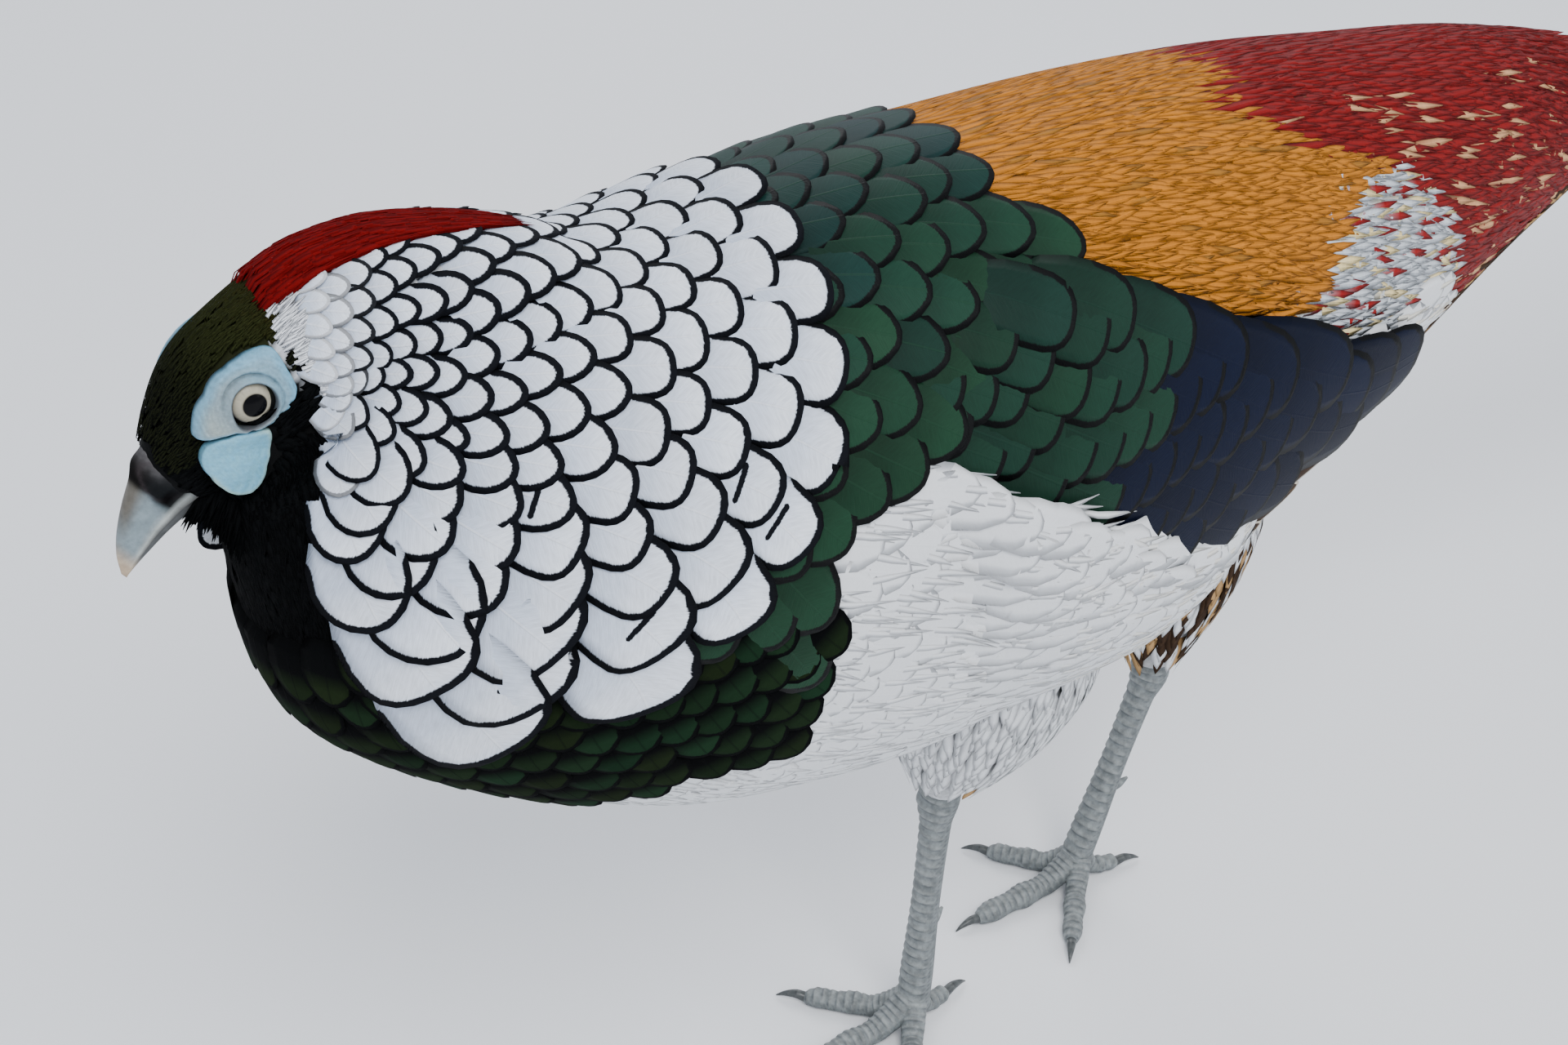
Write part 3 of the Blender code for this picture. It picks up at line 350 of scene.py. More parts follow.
WING_RADIUS = 0.071  # of the trunk, where the wing lies on it
WING_SPAN = (0.69, 0.30)
WING_UPPER = ((0.0, 0.14, 0.30, 0.44, 0.68, 0.87, 1.0), (60, 52, 50, 62, 82, 92, 99))
WING_LOWER = ((0.0, 0.11, 0.28, 0.40, 0.52, 0.68, 0.84, 1.0), (68, 80, 92, 104, 114, 119, 114, 105))


def wing_share(u, turn):
    """Place on the folded wing: along from front to rear, across from upper to lower edge."""
    along = (np.asarray(u) - WING_SPAN[0]) / (WING_SPAN[1] - WING_SPAN[0])
    upper, lower = np.interp(along, *WING_UPPER), np.interp(along, *WING_LOWER)
    return along, (side_of(turn) - upper) / (lower - upper)


CAPE_EDGE = ((0, 34, 62, 88, 104, 120, 130), (0.727, 0.733, 0.762, 0.798, 0.826, 0.872, 0.915))
CAPE_SIDE = 127  # turn where the cape gives way to the throat
GREEN_EDGE = (
    (0, 30, 40, 50, 58, 64, 69, 75, 83, 110, 124, 129, 150, 180),
    (0.571, 0.583, 0.556, 0.566, 0.56, 0.64, 0.699, 0.724, 0.738, 0.740, 0.743, 0.786, 0.80, 0.805),
)
RED_EDGE = ((0, 11, 26, 39, 46, 54, 80, 180), (0.355, 0.361, 0.375, 0.340, 0.298, 0.26, 0.22, 0.15))
PALE_EDGE = ((0, 46, 54, 64, 73, 79, 95, 105, 180), (0.0, 0.0, 0.321, 0.340, 0.380, 0.413, 0.44, 0.5, 0.5))
NAVY_EDGE = ((40, 71, 80, 88, 120), (0.50, 0.508, 0.548, 0.583, 0.60))
WHITE_FRONT = (  # height on the head against where its white feathers begin
    (-0.060, -0.045, -0.034, -0.0260, -0.0155, -0.0063, 0.0000, 0.0067, 0.0095, 0.0130, 0.0200),
    (0.0120, 0.0080, 0.0020, -0.0030, -0.0055, -0.0094, -0.0094, -0.0106, -0.0130, -0.0168, -0.0185),
)


# The markings of the trunk, as numbers; ZONE_COLOURS has the colour of each.
CAPE, THROAT, BREAST, MANTLE, OCHRES, REDS, PALES, BELLIES, VENT = range(9)


def trunk_zone(u, turn):
    """The marking at each place of the trunk."""
    side = side_of(turn)
    green = np.interp(side, *GREEN_EDGE)
    found = np.full(np.shape(u), OCHRES)
    along, across = wing_share(u, turn)
    found = np.where((side > 96) | ((across > 0.78) & (along > -0.30) & (along < 1.0)), BELLIES, found)
    found = np.where((u < np.interp(side, *PALE_EDGE)) & (side > 46) & (side <= 96), PALES, found)
    found = np.where((u < np.interp(side, *RED_EDGE)) & (side <= 125), REDS, found)
    found = np.where((side > 118) & (u < 0.16 + 0.0012 * (180 - side)), VENT, found)
    found = np.where(u > green, np.where(side < 104, MANTLE, BREAST), found)
    found = np.where((u > np.interp(side, *CAPE_EDGE)) & (side < CAPE_SIDE), CAPE, found)
    found = np.where((u > 0.925) & (side >= CAPE_SIDE - 2), THROAT, found)
    along, up = head_place(trunk.ring(u, turn))
    return np.where((found == CAPE) & (along > np.interp(up, *WHITE_FRONT)), THROAT, found)


ZONE_COLOURS = np.array((WHITE, BLACK, OLIVE * 0.6, GREEN, OCHRE, RED, PALE_GREY, BELLY, BROWN))


def head_colour(points):
    """Crown, crest, cheek and cape on the head: colours, and whether each place is white or crest."""
    along, up = head_place(points)
    aside = np.abs(points[..., 1])
    white = along < np.interp(up, *WHITE_FRONT)
    crest = (along < -0.0155) & (aside < 0.0085) & (up > -0.010)
    colour = mix(BLACK, CROWN, smooth(0.000, 0.0045, up) * smooth(0.020, -0.002, along))
    colour = np.where(white[..., None], WHITE, colour)
    return np.where(crest[..., None], CREST, colour), white & ~crest, crest


def new_object(name, points, faces, material):
    """A mesh object from points and an array of quads or triangles, smooth shaded."""
    mesh = bpy.data.meshes.new(name)
    faces = [np.asarray(group, np.int32) for group in (faces if isinstance(faces, list) else [faces])]
    loops = np.concatenate([group.ravel() for group in faces])
    sizes = np.concatenate([np.full(len(group), group.shape[1]) for group in faces])
    points = np.asarray(points) + SHIFT
    mesh.vertices.add(len(points))
    mesh.vertices.foreach_set("co", points.astype(np.float32).ravel())
    mesh.loops.add(len(loops))
    mesh.loops.foreach_set("vertex_index", loops)
    mesh.polygons.add(len(sizes))
    mesh.polygons.foreach_set("loop_start", np.r_[0, np.cumsum(sizes)[:-1]].astype(np.int32))
    mesh.update(calc_edges=True)
    mesh.shade_smooth()
    if material:
        mesh.materials.append(material)
    made = bpy.data.objects.new(name, mesh)
    bpy.context.scene.collection.objects.link(made)
    return made


def set_colour(made, name, colours):
    layer = made.data.color_attributes.new(name, "FLOAT_COLOR", "POINT")
    layer.data.foreach_set("color", np.c_[colours, np.ones(len(colours))].astype(np.float32).ravel())


def set_number(made, name, values):
    layer = made.data.attributes.new(name, "FLOAT", "POINT")
    layer.data.foreach_set("value", np.asarray(values, np.float32))


def set_uv(made, name, places):
    """A UV map from one place for each vertex."""
    mesh = made.data
    index = np.empty(len(mesh.loops), np.int32)
    mesh.loops.foreach_get("vertex_index", index)
    mesh.uv_layers.new(name=name).data.foreach_set("uv", np.asarray(places, np.float32)[index].ravel())


def grid_faces(rows, columns, closed=False):
    """Quads between rows of points; closed joins the last column to the first."""
    i, j = np.meshgrid(np.arange(rows - 1), np.arange(columns if closed else columns - 1), indexing="ij")
    k = (j + 1) % columns
    a, b = i * columns + j, i * columns + k
    return np.stack((a, b, b + columns, a + columns), -1).reshape(-1, 4)


# Where each body lies on the shared unwrap: left, low, width and height.
SKIN_MAP = {
    "trunk": (0.01, 0.01, 0.66, 0.98),
    "head": (0.69, 0.01, 0.30, 0.26),
    "nape": (0.69, 0.28, 0.30, 0.12),
    "left": (0.69, 0.41, 0.14, 0.28),
    "right": (0.85, 0.41, 0.14, 0.28),
    "tail": (0.69, 0.71, 0.30, 0.28),
}


def skin_place(region, u, turn):
    left, low, width, height = SKIN_MAP[region]
    round_share = (np.asarray(turn) / (2 * np.pi) + 0.5) % 1.0
    return np.stack((left + width * np.clip(u, 0, 1), low + height * round_share), -1)


def loft_object(name, loft, rings, sides, inset):
    """A closed tube over the loft."""
    u = np.linspace(0, 1, rings)[:, None]
    turn = np.linspace(-np.pi, np.pi, sides, endpoint=False)[None]
    points, normals, _, _ = loft.frame(u + 0 * turn, turn + 0 * u)
    made = Solids(name, None)
    made.tube(points - normals * inset, np.zeros(points.shape), (0, 0, 1, 1))
    return made.build(ride=False)


def ball_object(name, place, sizes):
    """An egg in the head."""
    rise = np.linspace(0.0, np.pi, 18)[1:-1, None]
    turn = np.linspace(0, 2 * np.pi, 24, endpoint=False)[None]
    along = place[0] - sizes[0] * np.cos(rise) + 0 * turn
    side = place[1] + sizes[1] * np.sin(rise) * np.sin(turn)
    up = place[2] + sizes[2] * np.sin(rise) * np.cos(turn)
    points = on_head(along, side, up)
    made = Solids(name, None)
    made.tube(points, np.zeros(points.shape), (0, 0, 1, 1))
    return made.build(ride=False)


class Solids:
    """Closed tubes gathered into one mesh with colours and their own places on the unwrap."""

    def __init__(self, name, material):
        self.name, self.material = name, material
        (self.points, self.quads, self.fans, self.quad_uv, self.fan_uv, self.colours,
         self.numbers) = ([] for _ in range(7))
        self.count = 0

    def tube(self, grid, colours, rect, ring=False, number=None):
        """Rows of points closed round; the ends are capped, or joined to each other for a ring."""
        rows, columns = grid.shape[:2]
        left, low, width, height = rect
        if ring:
            grid = np.concatenate((grid, grid[:1]))
        quads = grid_faces(len(grid), columns, closed=True) % (rows * columns)
        i, j = np.meshgrid(np.arange(len(grid) - 1), np.arange(columns), indexing="ij")
        corners = np.stack([np.stack((j + b, i + a), -1) for a, b in ((0, 0), (0, 1), (1, 1), (1, 0))], 2)
        quad_uv = corners.reshape(-1, 4, 2) / (columns, len(grid) - 1)
        points = grid[:rows].reshape(-1, 3)
        fans, fan_uv = np.zeros((0, 3), int), np.zeros((0, 3, 2))
        if not ring:
            first, last = np.arange(columns), np.arange((rows - 1) * columns, rows * columns)
            points = np.r_[points, points[first].mean(0)[None], points[last].mean(0)[None]]
            fans = np.concatenate((
                np.stack((np.roll(first, -1), first, np.full(columns, rows * columns)), -1),
                np.stack((last, np.roll(last, -1), np.full(columns, rows * columns + 1)), -1),
            ))
            fan_uv = np.zeros((2 * columns, 3, 2))
            fan_uv[columns:, :, 1] = 1
        corner = points[quads]
        volume = np.einsum("ij,ij->", corner[:, 0] - points[0],
                           np.cross(corner[:, 1] - points[0], corner[:, 2] - points[0]))
        if volume < 0:
            quads, fans = quads[:, ::-1], fans[:, ::-1]
            quad_uv, fan_uv = quad_uv[:, ::-1], fan_uv[:, ::-1]
        self.points.append(points)
        self.quads.append(quads + self.count)
        self.fans.append(fans + self.count)
        self.quad_uv.append(quad_uv * (width, height) + (left, low))
        self.fan_uv.append(fan_uv * (width, height) + (left, low))
        colours = np.asarray(colours).reshape(-1, 3)
        number = np.zeros(len(colours)) if number is None else np.asarray(number).ravel()
        if not ring:
            colours = np.r_[colours, colours[:1], colours[-1:]]
            number = np.r_[number, number[:1], number[-1:]]
        self.colours.append(colours)
        self.numbers.append(number)
        self.count += len(points)

    def build(self, ride=True):
        faces = [np.concatenate(self.quads), np.concatenate(self.fans)]
        made = new_object(self.name, np.concatenate(self.points), [group for group in faces if len(group)],
                          self.material)
        places = np.concatenate((np.concatenate(self.quad_uv).reshape(-1, 2),
                                 np.concatenate(self.fan_uv).reshape(-1, 2)))
        uv = made.data.uv_layers.new(name="OFBake")
        uv.data.foreach_set("uv", places.astype(np.float32).ravel())
        set_colour(made, "Col", np.concatenate(self.colours))
        set_number(made, "mark", np.concatenate(self.numbers))
        if ride:
            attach(made, "root")
            print("piece", self.name,
                  sum(2 * len(quads) + len(fans) for quads, fans in zip(self.quads, self.fans)))
        return made


def face_out(made):
    shape = bmesh.new()
    shape.from_mesh(made.data)
    if shape.calc_volume(signed=True) < 0:
        bmesh.ops.reverse_faces(shape, faces=shape.faces)
    shape.to_mesh(made.data)
    shape.free()


def unite(target, pieces):
    group = bpy.data.collections.new("pieces")
    bpy.context.scene.collection.children.link(group)
    for piece in pieces:
        group.objects.link(piece)
    modifier = target.modifiers.new("union", "BOOLEAN")
    modifier.operation = "UNION"
    modifier.operand_type = "COLLECTION"
    modifier.collection = group
    modifier.solver = "MANIFOLD"
    graph = bpy.context.evaluated_depsgraph_get()
    graph.update()
    shape = bpy.data.meshes.new_from_object(target.evaluated_get(graph))
    target.modifiers.clear()
    target.data = shape
    for piece in pieces:
        bpy.data.objects.remove(piece)
    bpy.data.collections.remove(group)


def new_material(name, roughness, **sockets):
    material = bpy.data.materials.new(name)
    material.use_nodes = True
    shader = material.node_tree.nodes["Principled BSDF"]
    shader.inputs["Roughness"].default_value = roughness
    for key, value in sockets.items():
        shader.inputs[key.replace("_", " ")].default_value = value
    return material, Nodes(material.node_tree), shader


class Nodes:
    """Short ways to add and join shader nodes."""

    def __init__(self, tree):
        self.tree = tree

    def add(self, kind, **settings):
        node = self.tree.nodes.new("ShaderNode" + kind)
        for key, value in settings.items():
            setattr(node, key, value)
        return node

    def put(self, socket, value):
        if isinstance(value, bpy.types.NodeSocket):
            self.tree.links.new(value, socket)
        else:
            socket.default_value = value

    def attribute(self, name, output="Color"):
        return self.add("Attribute", attribute_name=name).outputs[output]

    def math(self, operation, *values, clamp=False):
        node = self.add("Math", operation=operation, use_clamp=clamp)
        for socket, value in zip(node.inputs, values):
            self.put(socket, value)
        return node.outputs[0]

    def range(self, value, low, high, start=0.0, end=1.0):
        node = self.add("MapRange", interpolation_type="SMOOTHSTEP")
        for key, item in (("Value", value), ("From Min", low), ("From Max", high), ("To Min", start),
                          ("To Max", end)):
            self.put(node.inputs[key], item)
        return node.outputs[0]

    def mix(self, share, a, b, blend="MIX"):
        node = self.add("Mix", data_type="RGBA", blend_type=blend)
        self.put(node.inputs[0], share)
        for socket, value in ((node.inputs[6], a), (node.inputs[7], b)):
            if isinstance(value, np.ndarray):
                value = (*value, 1)
            self.put(socket, value)
        return node.outputs[2]

    def noise(self, vector, scale, detail=3.0, rough=0.55):
        node = self.add("TexNoise")
        if vector is not None:
            self.put(node.inputs["Vector"], vector)
        node.inputs["Scale"].default_value = scale
        node.inputs["Detail"].default_value = detail
        node.inputs["Roughness"].default_value = rough
        return node.outputs[0]

    def uv(self, name):
        return self.add("UVMap", uv_map=name).outputs[0]

    def split(self, vector):
        node = self.add("SeparateXYZ")
        self.put(node.inputs[0], vector)
        return node.outputs

    def join(self, x, y, z=0.0):
        node = self.add("CombineXYZ")
        for socket, value in zip(node.inputs, (x, y, z)):
            self.put(socket, value)
        return node.outputs[0]

    def bump(self, shader, height, strength, distance):
        node = self.add("Bump")
        node.inputs["Strength"].default_value = strength
        node.inputs["Distance"].default_value = distance
        self.put(node.inputs["Height"], height)
        self.put(shader.inputs["Normal"], node.outputs[0])


def plumage(name, roughness, barb_depth, barb_tone, **sockets):
    """Feathers: the vane's own colours, its dark edge and bar, barbs running out from the shaft."""
    material, nodes, shader = new_material(name, roughness, **sockets)
    across, along, _ = nodes.split(nodes.uv("Vane"))
    away = nodes.math("ABSOLUTE", across)
    fan = nodes.math("SUBTRACT", along, nodes.math("MULTIPLY", away, 0.75))
    strands = nodes.join(nodes.math("MULTIPLY", away, 1.2), nodes.math("MULTIPLY", fan, 16.0))
    barbs = nodes.noise(strands, 1.6, 2.0, 0.6)
    soft = nodes.noise(nodes.join(nodes.math("MULTIPLY", away, 2.0), nodes.math("MULTIPLY", fan, 4.0)), 2.2,
                       2.0)
    rim = nodes.math("ADD", nodes.attribute("rim", "Fac"),
                     nodes.math("MULTIPLY", nodes.math("SUBTRACT", barbs, 0.5), 0.55))
    edge = nodes.range(rim, 1.12, 0.88)
    inner = nodes.math("ABSOLUTE", nodes.attribute("bar", "Fac"))
    inner = nodes.math("ADD", inner, nodes.math("MULTIPLY", nodes.math("SUBTRACT", barbs, 0.5), 0.4))
    inner = nodes.math("ADD", inner, nodes.range(away, 0.40, 0.62, 0.0, 2.0))
    edge = nodes.math("MAXIMUM", edge, nodes.range(inner, 0.50, 0.35))
    tone = nodes.math("ADD", nodes.math("MULTIPLY", barbs, barb_tone),
                      nodes.math("MULTIPLY", soft, barb_tone * 1.2))
    tone = nodes.math("ADD", tone, 1.0 - barb_tone * 1.1)
    base = nodes.mix(1.0, nodes.attribute("Col"), nodes.join(tone, tone, tone), "MULTIPLY")
    shaft = nodes.range(away, 0.035, 0.012)
    base = nodes.mix(nodes.math("MULTIPLY", shaft, 0.35), base, nodes.attribute("Shaft"))
    nodes.put(shader.inputs["Base Color"], nodes.mix(edge, base, nodes.attribute("Edge")))
    height = nodes.math("ADD", barbs, nodes.math("MULTIPLY", shaft, 0.8))
    nodes.bump(shader, height, 0.6, barb_depth)
    return material


matte = plumage("plumage_matte", 0.80, 0.00025, 0.33, Specular_IOR_Level=0.10)
glossy = plumage("plumage_glossy", 0.50, 0.00015, 0.28, Specular_IOR_Level=0.09)
velvety = plumage("plumage_velvety", 0.95, 0.0001, 0.12, Specular_IOR_Level=0.03)
downy = plumage("plumage_downy", 0.9, 0.00006, 0.08, Specular_IOR_Level=0.06)
silky = plumage("plumage_silky", 0.65, 0.0003, 0.30, Specular_IOR_Level=0.15)


class Shape:
    """A feather's outline: station shares, widths, and each point's distance from the outline."""

    def __init__(self, stations, columns, root=0.45, shoulder=0.55, power=2.0, tip=0.14):
        straight = np.linspace(0, shoulder, stations[0], endpoint=False)
        angle = np.linspace(0, np.pi / 2, stations[1])
        rounded = shoulder + (1 - shoulder) * np.sin(angle) ** (2 / power)
        self.shares = np.r_[straight, rounded]
        grown = root + (1 - root) * np.sin(np.pi / 2 * np.clip(straight / shoulder, 0, 1))
        self.widths = np.maximum(np.r_[grown, np.cos(angle) ** (2 / power)], tip)
        self.across = np.linspace(-1, 1, columns)
        rows = len(self.shares)
        self.size = (rows, columns)
        inside = np.zeros(self.size, bool)
        inside[1:-1, 1:-1] = True
        under = np.arange(rows * columns).reshape(self.size)
        under[inside] = rows * columns + np.arange(inside.sum())
        self.inside = inside
        top = np.arange(rows * columns).reshape(self.size)
        quads = []
        for index, order in ((top, (0, 1, 2, 3)), (under, (3, 2, 1, 0))):
            corners = (index[:-1, :-1], index[:-1, 1:], index[1:, 1:], index[1:, :-1])
            quads.append(np.stack([corners[k] for k in order], -1).reshape(-1, 4))
        self.faces = np.concatenate(quads)
        self.count = rows * columns + int(inside.sum())

    def rims(self, half, length):
        """Distance in metres from each point to the sides and tip, for a feather of this size."""
        x = self.widths[:, None] * self.across * half
        y = np.broadcast_to(self.shares[:, None] * length, self.size)
        first = np.searchsorted(self.shares, 0.25)
        line = np.concatenate(
            (
                np.stack((self.widths[first:] * half, self.shares[first:] * length), -1),
                np.stack((-self.widths[:first:-1] * half, self.shares[:first:-1] * length), -1),
            )
        )
        a, b = line[:-1], line[1:]
        p = np.stack((x, y), -1).reshape(-1, 1, 2)
        span = b - a
        t = np.clip(((p - a) * span).sum(-1) / np.maximum((span**2).sum(-1), 1e-12), 0, 1)
        return np.linalg.norm(p - (a + t[..., None] * span), axis=-1).min(1).reshape(self.size)


SCALE = Shape((3, 6), 7)
BROAD = Shape((3, 6), 7, root=0.6, shoulder=0.62, power=2.8, tip=0.2)
SMALL = Shape((2, 4), 5)
PLUME = Shape((3, 3), 3, root=0.6, shoulder=0.45, power=1.5, tip=0.06)
HAIR = Shape((3, 2), 3, root=0.7, shoulder=0.5, power=1.2, tip=0.08)


class Coat:
    """Vanes gathered into one mesh, with their colours, edges and both UV maps."""

    def __init__(self, name, material):
        self.name, self.material = name, material
        self.parts = {key: [] for key in ("points", "faces", "col", "edge", "shaft", "rim", "bar", "vane",
                                          "bake")}
        self.count = 0

    def add(self, shape, centres, sides, normals, half, length, thick, colours, bake, patch=0.003, **look):
        """Vanes of one shape: centres, sides and normals are (vanes, stations, 3)."""
        vanes = len(centres)
        edge, edge_width = look.get("edge", EDGE_BLACK), look.get("edge_width", 0.0)
        bar, wrap, tuck = look.get("bar", -5.0), look.get("wrap", 0.06), look.get("tuck", 0.0)
        half, length = np.broadcast_to(half, vanes), np.broadcast_to(length, vanes)
        x = half[:, None, None] * shape.widths[None, :, None] * shape.across
        drop = x**2 / (2 * wrap) + tuck * np.abs(x)
        top = centres[:, :, None] + sides[:, :, None] * x[..., None] - normals[:, :, None] * drop[..., None]
        under = top - normals[:, :, None] * thick
        points = np.concatenate((top.reshape(vanes, -1, 3), under[:, shape.inside]), 1)
        rim = shape.rims(float(half.mean()), float(length.mean()))
        rim = rim[None] * (half / half.mean())[:, None, None]
        rim = rim / edge_width if edge_width else np.full(rim.shape, 9.0)
        y = length[:, None, None] * shape.shares[None, :, None] + 0 * x
        map_x = bake[:, None, None, 0] + patch * 0.5 * shape.across + 0 * x
        map_y = bake[:, None, None, 1] + patch * (shape.shares[:, None] - 0.5) + 0 * x

        def both(values):
            flat = values.reshape(vanes, shape.size[0] * shape.size[1], *values.shape[3:])
            return np.concatenate((flat, values[:, shape.inside]), 1)

        every = (vanes, *shape.size)
        colours = np.broadcast_to(colours, (*every, 3))
        parts = self.parts
        parts["points"].append(points.reshape(-1, 3))
        starts = self.count + shape.count * np.arange(vanes)
        parts["faces"].append((starts[:, None, None] + shape.faces[None]).reshape(-1, 4))
        parts["col"].append(both(colours).reshape(-1, 3))
        for key, value in (("edge", edge), ("shaft", look.get("shaft", WHITE))):
            value = np.asarray(value)
            value = value[:, None, None] if value.ndim == 2 else value
            parts[key].append(both(np.broadcast_to(value, (*every, 3))).reshape(-1, 3))
        parts["rim"].append(both(np.broadcast_to(rim, every)).ravel())
        bar = np.broadcast_to(np.asarray(bar, float), vanes)[:, None, None]
        inner = (length[:, None, None] - y) / (edge_width or 1.0) - bar + 99 * (bar < 0)
        parts["bar"].append(both(np.broadcast_to(inner, every)).ravel())
        parts["vane"].append(both(np.stack((x, y), -1) * 100).reshape(-1, 2))
        parts["bake"].append(both(np.stack((map_x, map_y), -1)).reshape(-1, 2))
        self.count += vanes * shape.count

    def build(self):
        joined = {key: np.concatenate(value) for key, value in self.parts.items()}
        made = new_object(self.name, joined["points"], joined["faces"], self.material)
        for key, name in (("col", "Col"), ("edge", "Edge"), ("shaft", "Shaft")):
            set_colour(made, name, joined[key])
        for key in ("rim", "bar"):
            set_number(made, key, joined[key])
        set_uv(made, "OFBake", joined["bake"])
        set_uv(made, "Vane", joined["vane"])
        made.data.uv_layers.active = made.data.uv_layers["OFBake"]
        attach(made, "root")
        print("coat", self.name, 2 * len(joined["faces"]), "triangles")
        return made


class Halves:
    """A coat in two pieces: each vane goes with the side of the body that its root is on."""

    def __init__(self, name, material):
        self.coats = Coat(name + "_left", material), Coat(name + "_right", material)

    def add(self, shape, centres, sides, normals, half, length, thick, colours, bake, **look):
        vanes = len(centres)
        left = centres[:, 0, 1] >= 0

        def of(mine, value):
            return value[mine] if np.ndim(value) and len(value) == vanes else value

        for coat, mine in zip(self.coats, (left, ~left)):
            places = [of(mine, value) for value in (centres, sides, normals, half, length)]
            own_look = {key: of(mine, value) for key, value in look.items()}
            coat.add(shape, *places, thick, of(mine, colours), of(mine, bake), **own_look)

    def build(self):
        for coat in self.coats:
            coat.build()


STEPS = 8


def walk(loft, u, turn, length, lean):
    """Places from (u, turn) towards lower u, leaning down each side; a negative length runs the other way."""
    u, turn = np.array(u, float), np.array(turn, float)
    down = np.where(np.sin(turn) >= 0, 1.0, -1.0)
    path = [(u, turn)]
    step = length / STEPS
    for _ in range(STEPS):
        _, _, along, around = loft.frame(u, turn)
        u = u - step * np.cos(lean) / np.linalg.norm(along, axis=-1)
        turn = turn + down * step * np.sin(lean) / np.linalg.norm(around, axis=-1)
        path.append((u, turn))
    return path


def lay(coat, loft, region, shape, u, turn, length, half, lean, colours, base, rise, lift=None, **look):
    """Feathers whose tips are at (u, turn) of the loft, rooted forward of them.

    base is the height over the loft's outline where a feather clears the skin, rise how steeply it
    lifts from there to its tip, and lift(u, turn) what else it lies on.
    """
    length, half, lean = (np.broadcast_to(value, np.shape(u)).astype(float) for value in (length, half, lean))
    path = walk(loft, u, turn, -length, lean)[::-1]
    us, turns = (np.stack([place[k] for place in path], 1) for k in (0, 1))
    bend = look.pop("bend", 0.0)
    at = shape.shares * STEPS
    low = np.clip(np.floor(at).astype(int), 0, STEPS - 1)
    part = at - low
    us = us[:, low] * (1 - part) + us[:, low + 1] * part
    turns = turns[:, low] * (1 - part) + turns[:, low + 1] * part
    points, normals, _, around = loft.frame(us, turns)
    heading = unit(np.gradient(points, axis=1))
    sides = unit(np.cross(heading, normals))
    share = shape.shares[None]
    base = np.broadcast_to(base, np.shape(u))[:, None]
    sink = -(INSET + ROOT_DEPTH) - base
    height = base + sink * (1 - smooth(0, 0.32, share))
    height = (height + rise * length[:, None] * np.clip(share - 0.3, 0, None)
              + bend * length[:, None] * share**4)
    if lift is not None:
        height = height + lift(us, turns) * smooth(0.0, 0.2, share)
        slope = (lift(us, turns + 0.02) - lift(us, turns - 0.02)) / 0.04 / np.linalg.norm(around, axis=-1)
        tilt = (slope * (unit(around) * sides).sum(-1))[..., None]
        raised = normals
        normals = unit(normals - sides * tilt)
        sides = unit(sides + raised * tilt)
        points = points + raised * height[..., None]
    else:
        points = points + normals * height[..., None]
    if region is None:
        root_u, root_turn, _ = place_on(trunk, points[:, 0])
        bake = skin_place("trunk", root_u, root_turn)
    else:
        bake = skin_place(region, us[:, 0], turns[:, 0])
    thick = look.pop("thick", 0.00025)
    coat.add(shape, points, sides, normals, half, length, thick, colours, bake, **look)


def rows_over(loft, first, last, pitch, spacing, jitter=0.12):
    """Staggered places over the whole loft between two u, by the lengths of skin."""
    places = []
    u, row = first, 0
    while u < last:
        turns = np.linspace(-np.pi, np.pi, 73)
        _, _, along, around = loft.frame(np.full(73, u), turns)
        steps = np.linalg.norm(around, axis=-1)[:-1]
        girth = steps.mean() * 2 * np.pi
        number = max(4, round(girth / spacing))
        shares = (np.arange(number) + 0.5 * (row % 2)) / number * 2 - 1
        even = np.interp(shares, np.r_[-1, np.cumsum(steps) / steps.sum() * 2 - 1], turns)
        places.append(np.stack((np.full(number, u), even), -1))
        u += pitch / np.linalg.norm(along, axis=-1).mean()
        row += 1
    places = np.concatenate(places)
    _, _, along, around = loft.frame(places[:, 0], places[:, 1])
    nudge = rng.normal(0, jitter, places.shape)
    places[:, 0] += nudge[:, 0] * pitch / np.linalg.norm(along, axis=-1)
    places[:, 1] += nudge[:, 1] * spacing / np.maximum(np.linalg.norm(around, axis=-1), 1e-4)
    return places[:, 0], places[:, 1]


def varied(colour, shape, count, amount=0.08, tip=None, start=0.3, end=0.95):
    """Colours for count vanes, each a little lighter or darker, changing to tip along the feather."""
    colour = np.broadcast_to(colour, (count, 3))
    grown = rng.normal(1, amount, (count, 1))
    own = np.clip(colour * grown, 0, 1)[:, None, None]
    if tip is None:
        return np.broadcast_to(own, (count, *shape.size, 3))
    far = np.clip(np.broadcast_to(tip, (count, 3)) * grown, 0, 1)[:, None, None]
    share = smooth(start, end, shape.shares)[None, :, None, None]
    return own * (1 - share) + far * share + np.zeros((count, *shape.size, 3))


def body_lean(turn):
    return np.radians(44) * (1 - np.exp(-side_of(turn) / 45)) * (1 - smooth(120, 180, side_of(turn)))


CREST_LINE = (  # x and z of the crest's ridge
    (0.1560, 0.1740, 0.1865, 0.2000, 0.2140, 0.2270, 0.2330),
    (0.2895, 0.2955, 0.2982, 0.2998, 0.2982, 0.2920, 0.2886),
)
NAPE_HALVES = (0.0240, 0.0230, 0.0210, 0.0185, 0.0165, 0.0140, 0.0120)  # at each point of the crest's line


